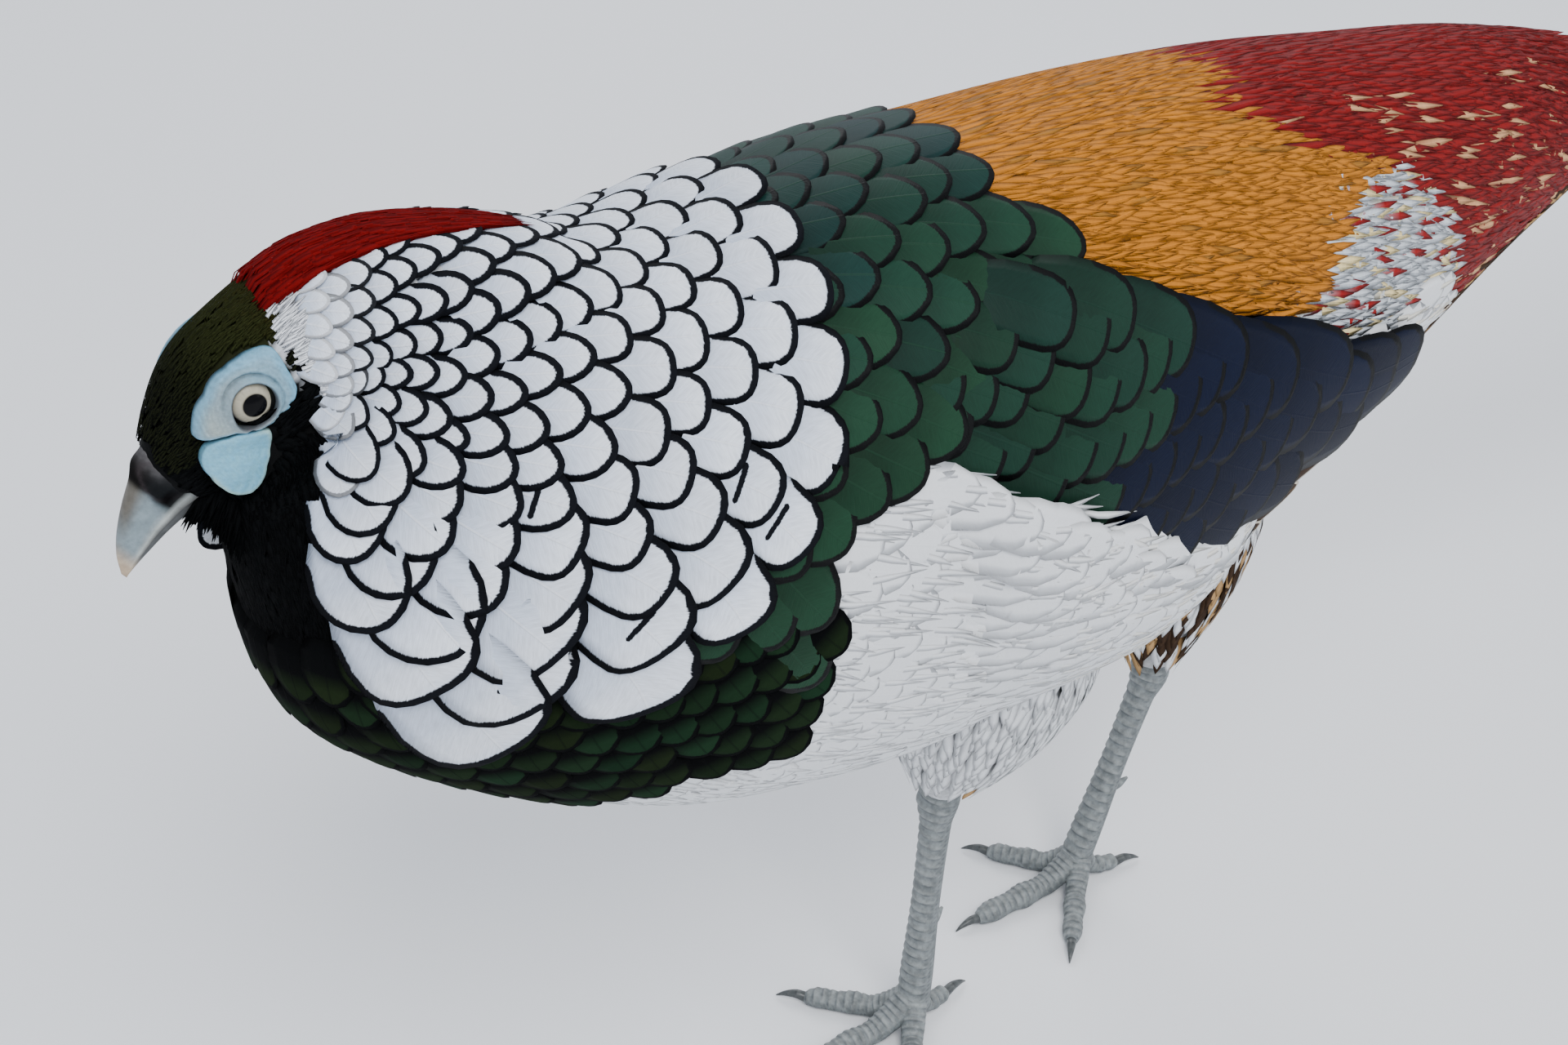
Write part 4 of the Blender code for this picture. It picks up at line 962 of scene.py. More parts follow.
def build_skin():
    """One smooth skin under all the feathers, with the same markings as they have, and its Ground."""
    skin = loft_object("skin", trunk, 120, 96, INSET)
    skull = Loft(head_rows(HEAD + SKULL_END))
    others = [loft_object("skull", skull, 56, 64, 0.0)]
    for thigh in thighs.values():
        others.append(loft_object("thigh", thigh, 24, 32, INSET))
    nape = Loft([(x, 0, z - 0.0150, 0, half, 0.0138, 0.0150) for x, z, half in zip(*CREST_LINE, NAPE_HALVES)])
    others.append(loft_object("nape", nape, 40, 48, 0.0))
    cone = Loft([(x, 0, z, 0, half, tall, tall) for x, z, half, tall in TAIL_CONE][::-1])
    others.append(loft_object("cone", cone, 12, 32, 0.0005))
    for side in (1, -1):
        others.append(ball_object("chin", (0.0125, 0.0030 * side, -0.0120), (0.0100, 0.0065, 0.0080)))
        others.append(ball_object("cheek", (-0.0010, 0.0050 * side, -0.0135), (0.0150, 0.0110, 0.0110)))
    for made in (skin, *others):
        face_out(made)
    unite(skin, others)
    remesh = skin.modifiers.new("remesh", "REMESH")
    remesh.mode, remesh.voxel_size = "VOXEL", 0.0019
    soften = skin.modifiers.new("soften", "SMOOTH")
    soften.factor, soften.iterations = 0.5, 9
    graph = bpy.context.evaluated_depsgraph_get()
    graph.update()
    mesh = bpy.data.meshes.new_from_object(skin.evaluated_get(graph))
    skin.modifiers.clear()
    skin.data = mesh
    mesh.shade_smooth()
    ground = Ground(mesh)

    lofts = {"trunk": trunk, "head": head, "nape": nape, "tail": cone, **thighs}
    found = {key: place_on(loft, ground.points) for key, loft in lofts.items()}
    names = list(lofts)
    gaps = np.stack([found[key][2] for key in names])
    region = np.argmin(gaps, axis=0)
    colours = np.array(BELLY) + np.zeros((len(ground.points), 3))
    u, turn, _ = found["trunk"]
    on_trunk = region == names.index("trunk")
    colours[on_trunk] = ZONE_COLOURS[trunk_zone(u, turn)][on_trunk]
    on_top = (region == names.index("head")) | (region == names.index("nape"))
    colours[on_top] = head_colour(ground.points)[0][on_top]
    colours[region == names.index("tail")] = RED
    colours[under_crest(ground.points)] = CREST * 0.8
    set_colour(skin, "Col", colours)
    corner = np.empty(len(mesh.loops), np.int32)
    mesh.loops.foreach_get("vertex_index", corner)
    start = np.empty(len(mesh.polygons), np.int32)
    mesh.polygons.foreach_get("loop_start", start)
    owner = np.repeat(np.arange(len(start)), np.diff(np.r_[start, len(corner)]))
    places = np.zeros((len(corner), 2))
    first = corner[start]
    for key in names:
        u, turn, _ = found[key]
        mine = region[first][owner] == names.index(key)
        own_turn = turn[corner]
        reference = turn[first][owner]
        own_turn = reference + (own_turn - reference + np.pi) % (2 * np.pi) - np.pi
        left, low, width, height = SKIN_MAP[key]
        share = np.clip(own_turn / (2 * np.pi) + 0.5, 0, 1)
        places[mine] = np.stack((left + width * u[corner], low + height * share), -1)[mine]
    uv = mesh.uv_layers.new(name="OFBake")
    uv.data.foreach_set("uv", places.astype(np.float32).ravel())
    material, nodes, shader = new_material("skin", 0.8, Specular_IOR_Level=0.1)
    grain = nodes.noise(nodes.add("TexCoord").outputs["Object"], 500.0)
    # The markings darkened to 0.55 to 0.85 of their colour, with a fine random grain: painted shade for the
    # skin that shows between the feathers.
    shade = nodes.range(grain, 0.2, 0.8, 0.55, 0.85)
    nodes.put(shader.inputs["Base Color"],
              nodes.mix(1.0, nodes.attribute("Col"), nodes.join(shade, shade, shade), "MULTIPLY"))
    nodes.bump(shader, grain, 0.4, 0.0006)
    mesh.materials.clear()
    mesh.materials.append(material)
    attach(skin, "root")
    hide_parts("head", "neck", "torso", "thigh_left", "thigh_right")
    print("skin", len(mesh.polygons) * 2, "triangles")
    return ground


class Ground:
    """The finished skin, to lay feathers on where no single loft holds it."""

    def __init__(self, mesh):
        count = len(mesh.vertices)
        self.points = np.empty(3 * count, np.float32)
        mesh.vertices.foreach_get("co", self.points)
        self.points = self.points.reshape(-1, 3).astype(float) - SHIFT
        mesh.calc_loop_triangles()
        self.faces = np.empty(3 * len(mesh.loop_triangles), np.int32)
        mesh.loop_triangles.foreach_get("vertices", self.faces)
        self.faces = self.faces.reshape(-1, 3)
        corner = self.points[self.faces]
        flat = np.cross(corner[:, 1] - corner[:, 0], corner[:, 2] - corner[:, 0])
        self.areas = np.linalg.norm(flat, axis=1) / 2
        normals = np.zeros((count, 3))
        for k in range(3):
            np.add.at(normals, self.faces[:, k], flat)
        self.normals = unit(normals)
        self.tree = BVHTree.FromPolygons(self.points.tolist(), self.faces.tolist())

    def near(self, points):
        """The nearest places of the skin and its smooth normals there."""
        shape = points.shape
        flat = points.reshape(-1, 3)
        places = np.empty_like(flat)
        index = np.empty(len(flat), int)
        for k, point in enumerate(flat.tolist()):
            hit = self.tree.find_nearest(point)
            places[k], index[k] = hit[0], hit[2]
        corner = self.faces[index]
        weight = 1 / (np.linalg.norm(self.points[corner] - places[:, None], axis=-1) + 2e-4)
        normals = unit((self.normals[corner] * weight[..., None]).sum(1))
        return places.reshape(shape), normals.reshape(shape)

    def scattered(self, spacing, wanted):
        """Random places, about this far apart, where wanted(points) holds."""
        middles = self.points[self.faces].mean(1)
        share = self.areas * wanted(middles)
        number = int(share.sum() / spacing**2)
        chosen = rng.choice(len(share), number, p=share / share.sum())
        weights = rng.dirichlet((1, 1, 1), number)
        return (self.points[self.faces[chosen]] * weights[..., None]).sum(1)


class Sheet:
    """Skin between two lines, read as a Loft is: u from its rear line to its front one, turn across it."""

    def __init__(self, points, outside):
        for _ in range(3):
            points[1:-1] = (points[:-2] + 2 * points[1:-1] + points[2:]) / 4
            points[:, 1:-1] = (points[:, :-2] + 2 * points[:, 1:-1] + points[:, 2:]) / 4
        self.points = points
        rows, columns = points.shape[:2]
        self.along = np.gradient(points, 1 / (rows - 1), axis=0)
        self.around = np.gradient(points, 1 / (columns - 1), axis=1)
        normals = unit(np.cross(self.along, self.around))
        facing = np.sign((normals * (points - outside)).sum(-1).mean())
        self.normals = normals * facing
        self.length = np.linalg.norm(np.diff(points, axis=0), axis=-1).sum(0).mean()

    def frame(self, u, turn):
        rows, columns = self.points.shape[:2]
        a, b = np.clip(u, 0, 1) * (rows - 1), np.clip(turn, 0, 1) * (columns - 1)
        i, j = np.minimum(a.astype(int), rows - 2), np.minimum(b.astype(int), columns - 2)
        a, b = (a - i)[..., None], (b - j)[..., None]

        def read(table):
            return ((table[i, j] * (1 - a) + table[i + 1, j] * a) * (1 - b)
                    + (table[i, j + 1] * (1 - a) + table[i + 1, j + 1] * a) * b)

        points = read(self.points)
        along = read(self.along)
        beyond = np.clip(u - 1, 0, None)[..., None]
        return points + along * beyond, unit(read(self.normals)), along, read(self.around)


TAIL_CONE = (
    (-0.1700, 0.2540, 0.0240, 0.0240),
    (-0.1900, 0.2545, 0.0230, 0.0230),
    (-0.2050, 0.2560, 0.0210, 0.0180),
    (-0.2250, 0.2575, 0.0190, 0.0120),
    (-0.2450, 0.2585, 0.0140, 0.0060),
)


# The line of the face that the cape starts from, top to cheek: x, y, z, and the heading of its feathers
# in degrees, 0 tailward and -90 down.
CAPE_FRONT = (
    (0.2262, 0.0010, 0.2912, 6),
    (0.2270, 0.0070, 0.2890, -20),
    (0.2268, 0.0115, 0.2850, -34),
    (0.2262, 0.0140, 0.2810, -43),
    (0.2240, 0.0165, 0.2760, -52),
    (0.2210, 0.0190, 0.2715, -63),
    (0.2190, 0.0208, 0.2680, -78),
    (0.2185, 0.0225, 0.2655, -95),
)
CAPE_RIM_TURNS = (0, 29, 51, 69, 86, 103, 120, 137)  # where the cape's rear edge is reached from each of them
CAPE_RIM_U = (0.727, 0.732, 0.748, 0.771, 0.796, 0.825, 0.857, 0.884)
CAPE_THROAT = (  # the cape's edge beside the throat, from cheek to rim
    (0.2190, 0.0225, 0.2655), (0.2228, 0.0238, 0.2596), (0.2262, 0.0251, 0.2489), (0.2268, 0.0272, 0.2412),
    (0.2258, 0.0294, 0.2322), (0.2238, 0.0316, 0.2211), (0.2191, 0.0354, 0.2094), (0.2118, 0.0373, 0.1971),
    (0.2055, 0.0388, 0.1915),
)
CAPE_GROUPS = (0, 0.35, 0.46, 0.53, 0.60, 0.67, 0.76, 0.87, 1.01)  # parts of a row, from top to throat


def evenly(line, number):
    """The line's points moved to even distances along it."""
    arc = np.r_[0, np.cumsum(np.linalg.norm(np.diff(line, axis=0), axis=1))]
    at = np.linspace(0, arc[-1], number)
    return np.stack([np.interp(at, arc, column) for column in line.T], -1)


def cape_sheet(ground, side_word):
    """The skin under one side of the cape, along lines fanning out from the face to the rear edge."""
    columns, rows = 65, 81
    across = np.linspace(0, 1, columns)
    knots = np.linspace(0, 1, len(CAPE_FRONT))
    front = np.stack([np.interp(across, knots, column) for column in np.array(CAPE_FRONT).T], -1)
    turn = np.radians(np.interp(across, knots, CAPE_RIM_TURNS))
    u = np.interp(across, knots, CAPE_RIM_U)
    rear, _, along, around = trunk.frame(u, turn)
    lean = np.radians(0.50 * np.degrees(turn) * (1 + 2.0 * (0.95 - u)))
    end = unit(-unit(along) * np.cos(lean)[:, None] + unit(around) * np.sin(lean)[:, None])
    heading = np.radians(front[:, 3])
    begin = np.stack((-np.cos(heading), 0.35 * np.ones(columns), np.sin(heading)), -1)
    begin[:, 1] *= smooth(0.0, 0.3, across)
    start = front[:, :3]
    reach = np.linalg.norm(rear - start, axis=-1)[:, None]
    begin, end = unit(begin) * reach * 0.95, end * reach * 0.85
    t = np.linspace(0, 1, rows)[:, None, None]
    lines = (1 + 2 * t) * (1 - t) ** 2 * start + t * (1 - t) ** 2 * begin
    lines = lines + t * t * (3 - 2 * t) * rear - t * t * (1 - t) * end
    throat = evenly(np.array(CAPE_THROAT), rows)
    pull = smooth(0.72, 1.0, across)[None, :, None]
    lines = lines + pull * (throat - evenly(lines[:, -1], rows))[:, None]
    places, _ = ground.near(lines[::-1] * (1, side_word, 1))
    for _ in range(5):
        for _ in range(6):
            places[1:-1] = (places[:-2] + 2 * places[1:-1] + places[2:]) / 4
            places[:, 1:-1] = (places[:, :-2] + 2 * places[:, 1:-1] + places[:, 2:]) / 4
        places[:, 0, 1] = 0
        places, _ = ground.near(places)
        places[:, 0, 1] = 0
    places = np.stack([evenly(places[:, k], rows) for k in range(columns)], 1)
    return Sheet(places, np.array((0.17, 0.0, 0.22)))


def build_cape(ground):
    """White scales with black edges along lines from the face, small beside it and broad at the rim."""
    coat = Coat("cape", matte)
    across = np.linspace(0, 1, 200)
    low = smooth(0.40, 0.75, across)
    broad = smooth(0.58, 0.88, across)
    for side_word in (1, -1):
        sheet = cape_sheet(ground, side_word)
        level = 0.065 * smooth(0.72, 0.98, across)
        row, number, taken = 0, 0, []
        while level.min() < 0.90:
            near = 1 - level
            pitch = 0.0029 + 0.0079 * near + 0.0026 * low * level
            points, _, along, _ = sheet.frame(level, across)
            spacing = ((0.0032 + 0.0142 * near + 0.0022 * low * level)
                       * (1 + 0.75 * broad * smooth(0.02, 0.35, near)))
            steps = np.linalg.norm(np.diff(points, axis=0), axis=1)
            order = np.r_[0, np.cumsum(steps / ((spacing[:-1] + spacing[1:]) / 2))]
            if abs(number - order[-1]) > 2.3:
                number = max(2, round(order[-1] - 1.6))
            places = np.arange(number + 1) + 0.5 * (row % 2)
            places = (places[(places <= number) & ((places > 0) | (side_word > 0))] / number
                      * (order[-1] - 0.55))
            places = places + rng.normal(0, 0.04, len(places)) * (places > 0)
            q = np.interp(places, order, across)
            own_pitch = np.interp(q, across, pitch)
            reach = np.interp(q, across, np.linalg.norm(along, axis=-1))
            u = np.interp(q, across, level) + rng.normal(0, 0.04, len(q)) * own_pitch / reach
            roots = sheet.frame(u + 0.004 / reach, q)[0]
            wanted = ~under_crest(roots, 0.0012) & (u < 0.90)
            tips = sheet.frame(u, q)[0]
            for k in np.flatnonzero(wanted):
                wanted[k] = all(np.linalg.norm(tips[k] - other) > 0.80 * own_pitch[k] for other in taken)
                if wanted[k]:
                    taken.append(tips[k])
            for start, end in zip(CAPE_GROUPS[:-1], CAPE_GROUPS[1:]):
                mine = wanted & (q >= start) & (q < end)
                if mine.any():
                    own_spacing = np.interp(q[mine], across, spacing)
                    lay_cape(coat, sheet, u[mine], q[mine], own_pitch[mine], own_spacing, reach[mine])
            level = level + pitch / np.linalg.norm(along, axis=-1)
            row += 1
    return coat


def cape_lift(level, across):
    """How far the cape stands off the skin, to lie over the dark scales behind and below it."""
    near = 1 - level
    below = 0.8 * smooth(0.72, 0.92, across) * smooth(0.10, 0.45, near)
    return 0.0034 * np.maximum(smooth(0.55, 0.95, near), below)


def lay_cape(coat, sheet, u, q, pitch, spacing, reach):
    """A few neighbouring scales of one row of the cape."""
    count = len(q)
    near = 1 - u
    rear = float(near.mean())
    low = smooth(0.62, 0.90, q) * smooth(0.10, 0.8, near)
    half = 0.60 * spacing * rng.normal(1, 0.05, count)
    length = np.maximum(2.6 * pitch * (1 + 0.30 * low), 0.0085) * rng.normal(1, 0.03, count)
    length = np.minimum(length, near * reach + 0.0035 - 0.0050 * smooth(0.42, 0.55, q))
    shape = BROAD if rear > 0.62 else SCALE
    # Painted shade: each white scale is blue-grey where it comes out from under the scales nearer the face
    # and whitens towards its tip, which turns blue-grey again just inside the black edge.
    colours = varied(WHITE * (0.66, 0.72, 0.82), shape, count, 0.04, WHITE * (0.94, 0.96, 0.99), 0.50, 0.90)
    colours = mix(colours, CAPE_TIP_SHADE, 0.5 * smooth(0.90, 1.0, shape.shares)[None, :, None])
    barred = (rng.random(count) < 0.45) & (near > 0.5) & (q > 0.45)
    bar = np.where(barred, rng.normal(6.2, 0.5, count), -1.0)
    flat = smooth(0.36, 0.80, float(q.mean()))
    edge = mix(WHITE * 0.7, EDGE_BLACK, smooth(0.10, 0.19, rear))
    lay(coat, sheet, None, shape, u, q, length, half, 0.0, colours, 0.0011,
        (0.00062 + 0.0005 * flat) / pitch.mean(), lift=cape_lift, edge=edge,
        edge_width=0.00045 + 0.00105 * smooth(0.0, 0.42, rear), bar=bar, wrap=0.040 + 0.100 * flat,
        tuck=0.03 * (1 - flat), shaft=CAPE_SHAFT, patch=0.005, thick=0.0003)


def build_mantle(coat):
    """Round green scales behind the cape, over the shoulders and along the breast's side."""
    u, turn = rows_over(trunk, 0.40, 0.86, 0.0120, 0.0160, 0.06)
    zone = trunk_zone(u, turn)
    side = side_of(turn)
    keep = (zone == MANTLE) & (side < 106) & (u < np.interp(side, *CAPE_EDGE) + 0.02)
    u, turn, side = u[keep], turn[keep], side[keep]
    count = len(u)
    hue = mix(GREEN, TEAL, np.clip(0.75 - side / 70 + rng.normal(0, 0.15, count), 0, 1))
    length, half = 0.034 * rng.normal(1, 0.04, count), 0.0104 * rng.normal(1, 0.05, count)
    colours = varied(hue * 0.55, SCALE, count, 0.08, hue * 0.95, 0.5, 0.9)
    lay(coat, trunk, "trunk", SCALE, u, turn, length, half, body_lean(turn), colours, 0.0012, 0.034,
        edge_width=0.0014, edge=BLACK, wrap=0.05, tuck=0.03, shaft=GREEN, patch=0.005, thick=0.0003)


def build_breast(coat):
    """Small dark scales with olive crescents, blacker towards the throat."""
    u, turn = rows_over(trunk, 0.70, 0.93, 0.0068, 0.0105, 0.08)
    side = side_of(turn)
    zone = trunk_zone(u, turn)
    under_cape = (zone == CAPE) & (side > 98) & (u < np.interp(side, *CAPE_EDGE) + 0.022)
    keep = (zone == BREAST) | ((zone == MANTLE) & (side > 96)) | under_cape
    u, turn, side = u[keep], turn[keep], side[keep]
    count = len(u)
    hue = mix(OLIVE * 0.7, GREEN * 0.8, np.clip(rng.random(count) * 0.9 - (u - 0.75) * 3, 0, 1))
    lay(coat, trunk, "trunk", SMALL, u, turn, 0.019, 0.0072 * rng.normal(1, 0.06, count),
        body_lean(turn) * 0.9, varied(BLACK * 0.8, SMALL, count, 0.1, hue * 0.8, 0.55, 0.8), 0.0012, 0.05,
        edge_width=0.0009, edge=BLACK, wrap=0.05, tuck=0.02, shaft=BLACK, patch=0.004)


def lay_on(coat, ground, shape, roots, heading, length, half, colours, base, rise, **look):
    """Small feathers from these roots, walking over the skin along heading(points)."""
    count = len(roots)
    places, normals = ground.near(roots)
    path, ups = [places], [normals]
    step = (length / 4)[:, None] if np.ndim(length) else length / 4
    turn = rng.normal(0, 0.12, (count, 1))
    for _ in range(4):
        ahead = heading(places)
        ahead = unit(ahead - normals * (ahead * normals).sum(-1, keepdims=True))
        ahead = unit(ahead + np.cross(normals, ahead) * turn)
        places, normals = ground.near(places + ahead * step)
        path.append(places)
        ups.append(normals)
    path, ups = np.stack(path, 1), np.stack(ups, 1)
    at = shape.shares * 4
    low = np.clip(np.floor(at).astype(int), 0, 3)
    part = (at - low)[None, :, None]
    points = path[:, low] * (1 - part) + path[:, low + 1] * part
    normals = unit(ups[:, low] * (1 - part) + ups[:, low + 1] * part)
    sides = unit(np.cross(unit(np.gradient(points, axis=1)), normals))
    share = shape.shares[None]
    height = (base - (base + ROOT_DEPTH) * (1 - smooth(0, 0.32, share))
              + rise * np.mean(length) * np.clip(share - 0.3, 0, None))
    points = points + normals * height[..., None]
    root_u, root_turn, _ = place_on(trunk, roots)
    coat.add(shape, points, sides, normals, half, length, look.pop("thick", 0.0002), colours,
             skin_place("trunk", root_u, root_turn), **look)


def build_stray(coat):
    """A cape feather of the right side that shows in front of the throat."""
    start, end = np.array((0.2190, -0.0300, 0.2262)), np.array((0.2345, -0.0290, 0.2184))
    share = SCALE.shares[:, None]
    centres = start + (end - start) * share + np.array((0, 0, -0.0008)) * share**2
    heading = unit(end - start)
    normal = np.array((0.25, 0.82, 0.51))
    normal = unit(normal - heading * (normal @ heading))
    sides = np.broadcast_to(np.cross(heading, normal), centres.shape)
    normals = np.broadcast_to(normal, centres.shape)
    bake = skin_place("head", np.array((0.9,)), np.array((-2.2,)))
    colours = varied(WHITE, SCALE, 1, 0.0)
    coat.add(SCALE, centres[None], sides[None], normals[None], 0.0052, 0.0175, 0.0003, colours, bake,
             edge_width=0.0012, wrap=0.03, shaft=WHITE)


def is_dark(points):
    """Whether a place of the head or throat carries dark velvet."""
    along, up = head_place(points)
    u, turn, _ = place_on(trunk, points)
    ahead = along > np.interp(up, *WHITE_FRONT) - 0.001
    throat = (u > 0.93) & (side_of(turn) > 118)
    bill = along > np.interp(up, (-0.013, -0.010, -0.006, 0.000, 0.006),
                             (0.05, 0.0225, 0.0250, 0.0252, 0.0220))
    return ((ahead | throat) & (u > 0.86) & ~under_crest(points, 0.0005) & ~on_bare_skin(points, 0.0002)
            & ~bill)


def is_crown(points):
    return is_dark(points) & (head_place(points)[1] > 0.001)


def build_velvet(coat, crown_coat, ground):
    """Short dark feathers of crown, cheek, chin and throat."""

    def heading(points):
        _, up = head_place(points)
        low = smooth(-0.004, -0.016, up)
        return unit(mix(-HEAD_FORWARD, np.array((-0.25, 0.0, -1.0)), low)
                    + np.array((0, 0.15, 0)) * np.sign(points[:, 1:2]))

    roots = ground.scattered(0.00110, lambda points: is_dark(points) & ~is_crown(points))
    count = len(roots)
    lay_on(coat, ground, HAIR, roots, heading, 0.0062 * rng.normal(1, 0.1, count), 0.0009,
           varied(BLACK * 0.9, HAIR, count, 0.12, BLACK * 1.3, 0.2, 0.9), 0.0009, 0.02, wrap=0.02,
           shaft=BLACK, thick=0.0001)

    roots = ground.scattered(0.00062, is_crown)
    count = len(roots)
    along, up = head_place(roots)
    olive = smooth(0.003, 0.009, up) * smooth(0.014, -0.006, along)
    colour = mix(BLACK, CROWN, olive)
    warm = smooth(-0.004, -0.016, along) * rng.random(count)
    colour = mix(colour, CROWN * np.array((1.7, 1.05, 0.8)), 0.7 * olive * warm)
    lay_on(crown_coat, ground, HAIR, roots, heading, 0.0036 * rng.normal(1, 0.1, count), 0.00042,
           varied(colour * 0.85, HAIR, count, 0.08, colour, 0.2, 0.9), 0.0010, 0.008, wrap=0.02,
           shaft=CROWN, thick=0.00008)


def build_chin(coat, ground):
    """Longer black feathers that hang forward from the chin."""
    def wanted(points):
        along, up = head_place(points)
        return ((along > 0.010) & (along < 0.0245) & (up > -0.022) & (up < -0.0085)
                & (np.abs(points[:, 1]) < 0.0085))

    roots = ground.scattered(0.00085, wanted)
    count = len(roots)
    out = np.clip(roots[:, 1:2] / 0.008, -1, 1)
    along, up = head_place(roots)
    low = smooth(-0.010, -0.018, up)[:, None]
    heading = unit(HEAD_FORWARD * (1.0 - 0.5 * low) - np.array((0, 0, 1.0)) * (0.25 + 0.75 * low)
                   + SIDEWAYS * out * 0.25)
    heading = unit(heading + rng.normal(0, 0.10, (count, 3)))
    length = rng.uniform(0.0065, 0.0100, count)
    centres = (roots[:, None] + heading[:, None] * (length[:, None] * HAIR.shares)[..., None]
               - heading[:, None] * 0.002)
    centres[..., 2] -= 0.06 * length[:, None] * HAIR.shares**2
    normals = np.stack((0 * out[:, 0], np.where(out[:, 0] >= 0, 1.0, -1.0), 0 * out[:, 0]), -1)
    normals = unit(normals - heading * (normals * heading).sum(-1, keepdims=True))
    normals = np.repeat(normals[:, None], len(HAIR.shares), 1)
    sides = unit(np.cross(np.repeat(heading[:, None], len(HAIR.shares), 1), normals))
    root_u, root_turn, _ = place_on(head, roots)
    coat.add(HAIR, centres, sides, normals, 0.0008, length, 0.0001,
             varied(BLACK * 0.9, HAIR, count, 0.12, BLACK * 1.3), skin_place("head", root_u, root_turn),
             shaft=BLACK, wrap=0.02)


def build_nape(coat, ground):
    """Silky white feathers right behind the face."""
    def wanted(points):
        along, up = head_place(points)
        behind = np.interp(up, *WHITE_FRONT) - along
        reach = np.interp(up, (-0.012, -0.003, 0.002, 0.012), (0.0005, 0.0015, 0.0035, 0.0050))
        beside = (behind > -0.0008) & (behind < reach) & (up > -0.012) & (np.abs(points[:, 1]) > 0.0050)
        return beside & ~on_bare_skin(points) & ~under_crest(points, 0.0004)

    def heading(points):
        away = (points - EYE_PLACE
                * np.stack((np.ones(len(points)), np.sign(points[:, 1]), np.ones(len(points))), -1))
        return unit(away * (1, 0.3, 1)) + (-0.55, 0.0, -0.15)

    roots = ground.scattered(0.00062, wanted)
    count = len(roots)
    far = np.where(rng.random((count, 1)) < 0.07, EDGE_BLACK * 2, WHITE)
    colours = varied(WHITE, HAIR, count, 0.03, far, 0.88, 0.97)
    lay_on(coat, ground, HAIR, roots, heading, 0.0070 * rng.normal(1, 0.1, count), 0.00042, colours, 0.0012,
           0.008, wrap=0.03, shaft=WHITE, thick=0.00008)


def build_rump(coat):
    """Silky plumes of the lower back: ochre, then crimson, with a pale patch low on each side."""
    u, turn = rows_over(trunk, 0.0, 0.62, 0.0042, 0.0024, 0.30)
    wing_along, wing_across = wing_share(u, turn)
    hidden = (np.abs(wing_across - 0.5) < 0.36) & (np.abs(wing_along - 0.5) < 0.46)
    u, turn = u[~hidden], turn[~hidden]
    zone = trunk_zone(u, turn)
    for wanted, colour, tip, length, half in (
        (OCHRES, OCHRE * 0.80, OCHRE, 0.024, 0.0016),
        (REDS, RED * 0.7, RED, 0.034, 0.0018),
        (PALES, PALE_GREY * 0.85, PALE_GREY, 0.028, 0.0019),
    ):
        keep = zone == wanted
        at_u, at_turn = u[keep], turn[keep]
        count = len(at_u)
        side = side_of(at_turn)
        far = np.broadcast_to(tip, (count, 3)).copy()
        if wanted == OCHRES:
            flecks = rng.random(count) < 0.05
            far[flecks] = mix(OCHRE, OLIVE_FLECK, np.full(flecks.sum(), 0.45))
            cream = (side > 74) & (at_u < 0.46)
            far[cream] = CREAM
        if wanted == PALES:
            streak = rng.random(count)
            far[streak < 0.16] = RED * 1.2
            far[(streak > 0.16) & (streak < 0.30)] = CREAM
        if wanted == REDS:
            pale = (rng.random(count) < 0.10) & (side > 30)
            far[pale] = mix(CREAM, ORANGE_RED, np.full(pale.sum(), 0.5))
        lean = body_lean(at_turn) * 0.55 + rng.normal(0, 0.10, count)
        lay(coat, trunk, "trunk", PLUME, at_u, at_turn, length * rng.normal(1, 0.12, count), half, lean,
            varied(colour, PLUME, count, 0.07, far, 0.2, 0.8), 0.0002, 0.007,
            shaft=np.clip(far * 1.1, 0, 1), wrap=0.08, thick=0.00008)


def build_belly(coats):
    """Soft white plumes of flank and belly, and the brown or buff ones behind them."""
    u, turn = rows_over(trunk, 0.02, 0.86, 0.0028, 0.0026, 0.34)
    zone = trunk_zone(u, turn)
    keep = (zone == VENT) | ((zone == BELLIES) & (rng.random(len(u)) < 0.22))
    u, turn, zone = u[keep], turn[keep], zone[keep]
    side = side_of(turn)
    count = len(u)
    lean = body_lean(turn) * 0.45 + rng.normal(0, 0.10, count)
    along, _ = wing_share(u, turn)
    near = mix(BELLY, FLANK_SHADE, 0.8 * smooth(0.15, 0.85, along))
    tip = np.where((zone == VENT)[:, None], np.where(rng.random((count, 1)) < 0.3, BUFF, BROWN), near)
    half = np.where(side < 132, 0.0009, 0.0015)
    for coat, chosen in zip(coats, (np.sin(turn) >= 0, np.sin(turn) < 0)):
        number = chosen.sum()
        base = rng.uniform(0.00044, 0.00049, number)
        lay(coat, trunk, "trunk", HAIR, u[chosen], turn[chosen], 0.021 * rng.normal(1, 0.14, number),
            half[chosen], lean[chosen],
            varied(tip[chosen] * 0.97, HAIR, number, 0.015, tip[chosen], 0.3, 0.9), base, 0.001,
            lift=flank_lift, wrap=0.03, shaft=tip[chosen], thick=0.00006)


